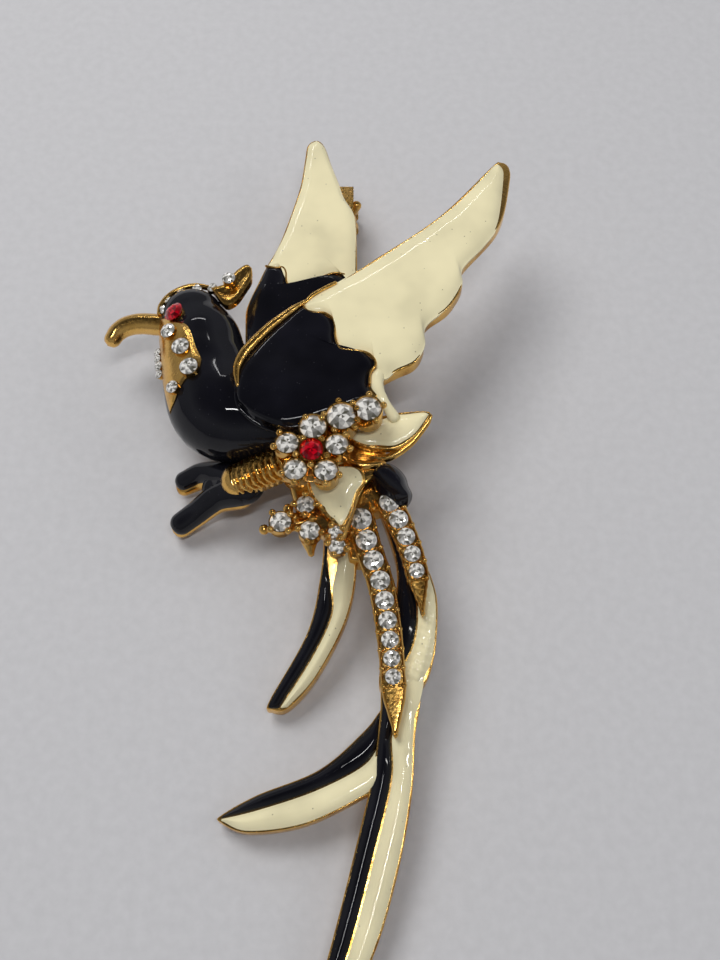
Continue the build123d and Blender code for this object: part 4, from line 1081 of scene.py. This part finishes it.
class PIN_OT_leaves(bpy.types.Operator):
    """Two cream leaves on gold beside the flower"""

    bl_idname = "pin.leaves"
    bl_label = "Leaves"

    def execute(self, context):
        sizes = context.scene.pin_sizes
        rim = sizes.rim / MM
        dress(plate("tail_root_plate", TAIL_ROOT, level(BACK_Z), 2.6, 0.4), "gold_casting",
            nodes=["tail_root"])
        web = [plate("spray_web", SPRAY_WEB, level(8.75), 2.4, 0.5)]
        for x, y, _ in SPRIG:
            web.append(swept("spray_rod", [(2.6, 2.2, 9.9, 0.9),
                ((x + 2.6) / 2, (y + 2.2) / 2, 10.2, 0.75), (x, y, 11.2, 0.8)], 20, 14))
        web.append(swept("spray_point", [(1.3, -1.0, 10.6, 0.9), (1.5, -2.4, 10.4, 0.35)], 16, 14))
        web.append(swept("spray_curl", [(7.4, 8.6, 10.6, 0.5), (9.4, 8.3, 10.9, 0.45),
            (11.6, 9.4, 11.6, 0.4), (13.4, 11.4, 12.3, 0.35), (13.9, 12.4, 12.6, 0.32)], 50, 12))
        web.append(swept("spray_bar", [(4.6, 8.4, 11.2, 0.6), (6.6, 7.2, 11.4, 0.5),
            (8.6, 7.4, 11.2, 0.45)], 30, 12))
        dress(joined("spray_web", web), "gold_setting", nodes=["spray_base"])

        def upper_base(x, y):
            return 11.3 + 0.9 * max(0.0, (x - 8.0) / 6.0) ** 1.5

        def lower_base(x, y):
            return 11.3 + 0.9 * max(0.0, (y - 2.0) / 4.0)

        for name, sides, base in (("upper_leaf", UPPER_LEAF, upper_base),
            ("lower_leaf", LOWER_LEAF, lower_base)):
            outline = list(sides[0]) + list(reversed(sides[1][1:-1]))
            dress(plate(name + "_tray", outline, base, 0.8, 0.2, 90), "gold_casting", nodes=[name])
            top = lambda x, y, base=base: base(x, y) + 0.7
            cream = panel(name + "_cream", sides, 36, 12, (rim, rim), crowned(top, 0.5, 0.5), top)
            dress(cream, "cream_enamel", nodes=[name + "_enamel"])
        return {"FINISHED"}


class PIN_OT_fittings(bpy.types.Operator):
    """Finish of the parts that stay as they were cut: hinge, stem, catch and backing"""

    bl_idname = "pin.fittings"
    bl_label = "Fittings"

    def execute(self, context):
        finishes = {
            "gold_casting": ["body_shell"],
            "gold_fitting": ["hinge_base", "hinge_rivet", "catch_base", "catch_sleeve"],
            "pin_wire": ["pin_stem"],
        }
        for finish, nodes in finishes.items():
            for node in nodes:
                holder = bpy.data.objects[node]
                for slot in holder.material_slots:
                    slot.material = bpy.data.materials[finish + "_finish"]
        return {"FINISHED"}


# ---------------------------------------------------------------- the stage


class PIN_OT_stage(bpy.types.Operator):
    """Pale floor, soft lights and the camera"""

    bl_idname = "pin.stage"
    bl_label = "Stage"

    def execute(self, context):
        free()
        bpy.ops.mesh.primitive_grid_add(x_subdivisions=8, y_subdivisions=8, size=2.4)
        floor = named("studio_floor")
        material, tree, shader = new_finish("pale_floor")
        colour = tuple(context.scene.pin_colours.floor)
        weave = grain(tree, 900, 3)
        tone = shades(tree, weave.outputs["Fac"], [(0.3, scaled(colour, 0.94)), (0.7, colour)])
        tree.links.new(tone, shader.inputs["Base Color"])
        shader.inputs["Roughness"].default_value = 0.95
        floor.data.materials.append(material)

        world = bpy.data.worlds.new("soft_studio")
        world.use_nodes = True
        tree = world.node_tree
        sky = tree.nodes.new("ShaderNodeTexCoord")
        parts = tree.nodes.new("ShaderNodeSeparateXYZ")
        tree.links.new(sky.outputs["Generated"], parts.inputs["Vector"])
        tone = shades(tree, parts.outputs["Z"], [
            (0.0, (0.36, 0.37, 0.40)), (0.45, (0.56, 0.57, 0.60)), (0.72, (0.18, 0.18, 0.2)),
            (0.9, (0.05, 0.05, 0.06))])
        tree.links.new(tone, tree.nodes["Background"].inputs["Color"])
        tree.nodes["Background"].inputs["Strength"].default_value = 0.55
        context.scene.world = world

        lamps = [
            ("window_light", (-0.18, 0.20, 0.42), (0.26, 0.26), 1.45, (1.0, 0.985, 0.96), False),
            ("strip_light", (0.04, -0.09, 0.42), (0.20, 0.012), 0.45, (1.0, 1.0, 1.0), True),
            ("far_strip", (-0.06, 0.34, 0.26), (0.20, 0.006), 0.08, (1.0, 1.0, 1.0), True),
            ("right_strip", (0.32, -0.02, 0.24), (0.008, 0.12), 0.10, (1.0, 0.98, 0.95), True),
        ]
        for name, place, size, power, tint, shown in lamps:
            bpy.ops.object.light_add(type="AREA", location=place)
            lamp = bpy.context.object
            lamp.name = name
            lamp.data.shape = "RECTANGLE"
            lamp.data.size = size[0]
            lamp.data.size_y = size[1]
            lamp.data.energy = power
            lamp.data.color = tint
            lamp.visible_glossy = shown
            aim = Vector((0.003, 0.005, 0.008)) - Vector(place)
            lamp.rotation_euler = aim.to_track_quat("-Z", "Y").to_euler()

        bpy.ops.object.camera_add(location=(0.0065, -0.04567, 0.12110), rotation=(math.radians(25), 0, 0))
        camera = bpy.context.object
        camera.name = "studio_camera"
        camera.data.lens = 43.46
        camera.data.sensor_width = 36
        camera.data.clip_start = 0.005
        camera.data.dof.use_dof = False
        context.scene.camera = camera
        context.scene.view_settings.view_transform = "Standard"
        context.scene.view_settings.look = "None"
        return {"FINISHED"}


class PIN_PT_panel(bpy.types.Panel):
    """Steps of making the pin"""

    bl_idname = "PIN_PT_panel"
    bl_label = "Dress pin"
    bl_space_type = "VIEW_3D"
    bl_region_type = "UI"
    bl_category = "Dress pin"

    def draw(self, context):
        layout = self.layout
        for group in (context.scene.pin_sizes, context.scene.pin_colours):
            box = layout.box()
            for key in group.bl_rna.properties.keys():
                if key not in {"rna_type", "name"}:
                    box.prop(group, key)
        for step in STEPS:
            layout.operator(step.bl_idname)


STEPS = (
    PIN_OT_stage, PIN_OT_body, PIN_OT_head, PIN_OT_wings, PIN_OT_feet, PIN_OT_feathers, PIN_OT_strands,
    PIN_OT_flower, PIN_OT_leaves, PIN_OT_fittings)
CLASSES = (PinSizes, PinColours) + STEPS + (PIN_PT_panel,)


def register():
    for kind in CLASSES:
        bpy.utils.register_class(kind)
    bpy.types.Scene.pin_sizes = bpy.props.PointerProperty(type=PinSizes)
    bpy.types.Scene.pin_colours = bpy.props.PointerProperty(type=PinColours)


def unregister():
    del bpy.types.Scene.pin_colours
    del bpy.types.Scene.pin_sizes
    for kind in reversed(CLASSES):
        bpy.utils.unregister_class(kind)


def main():
    register()
    make_finishes()
    bpy.ops.pin.stage()
    bpy.ops.pin.body()
    bpy.ops.pin.head()
    bpy.ops.pin.wings()
    bpy.ops.pin.feet()
    bpy.ops.pin.feathers()
    bpy.ops.pin.strands()
    bpy.ops.pin.flower()
    bpy.ops.pin.leaves()
    bpy.ops.pin.fittings()
    free()


if __name__ == "__main__":
    main()
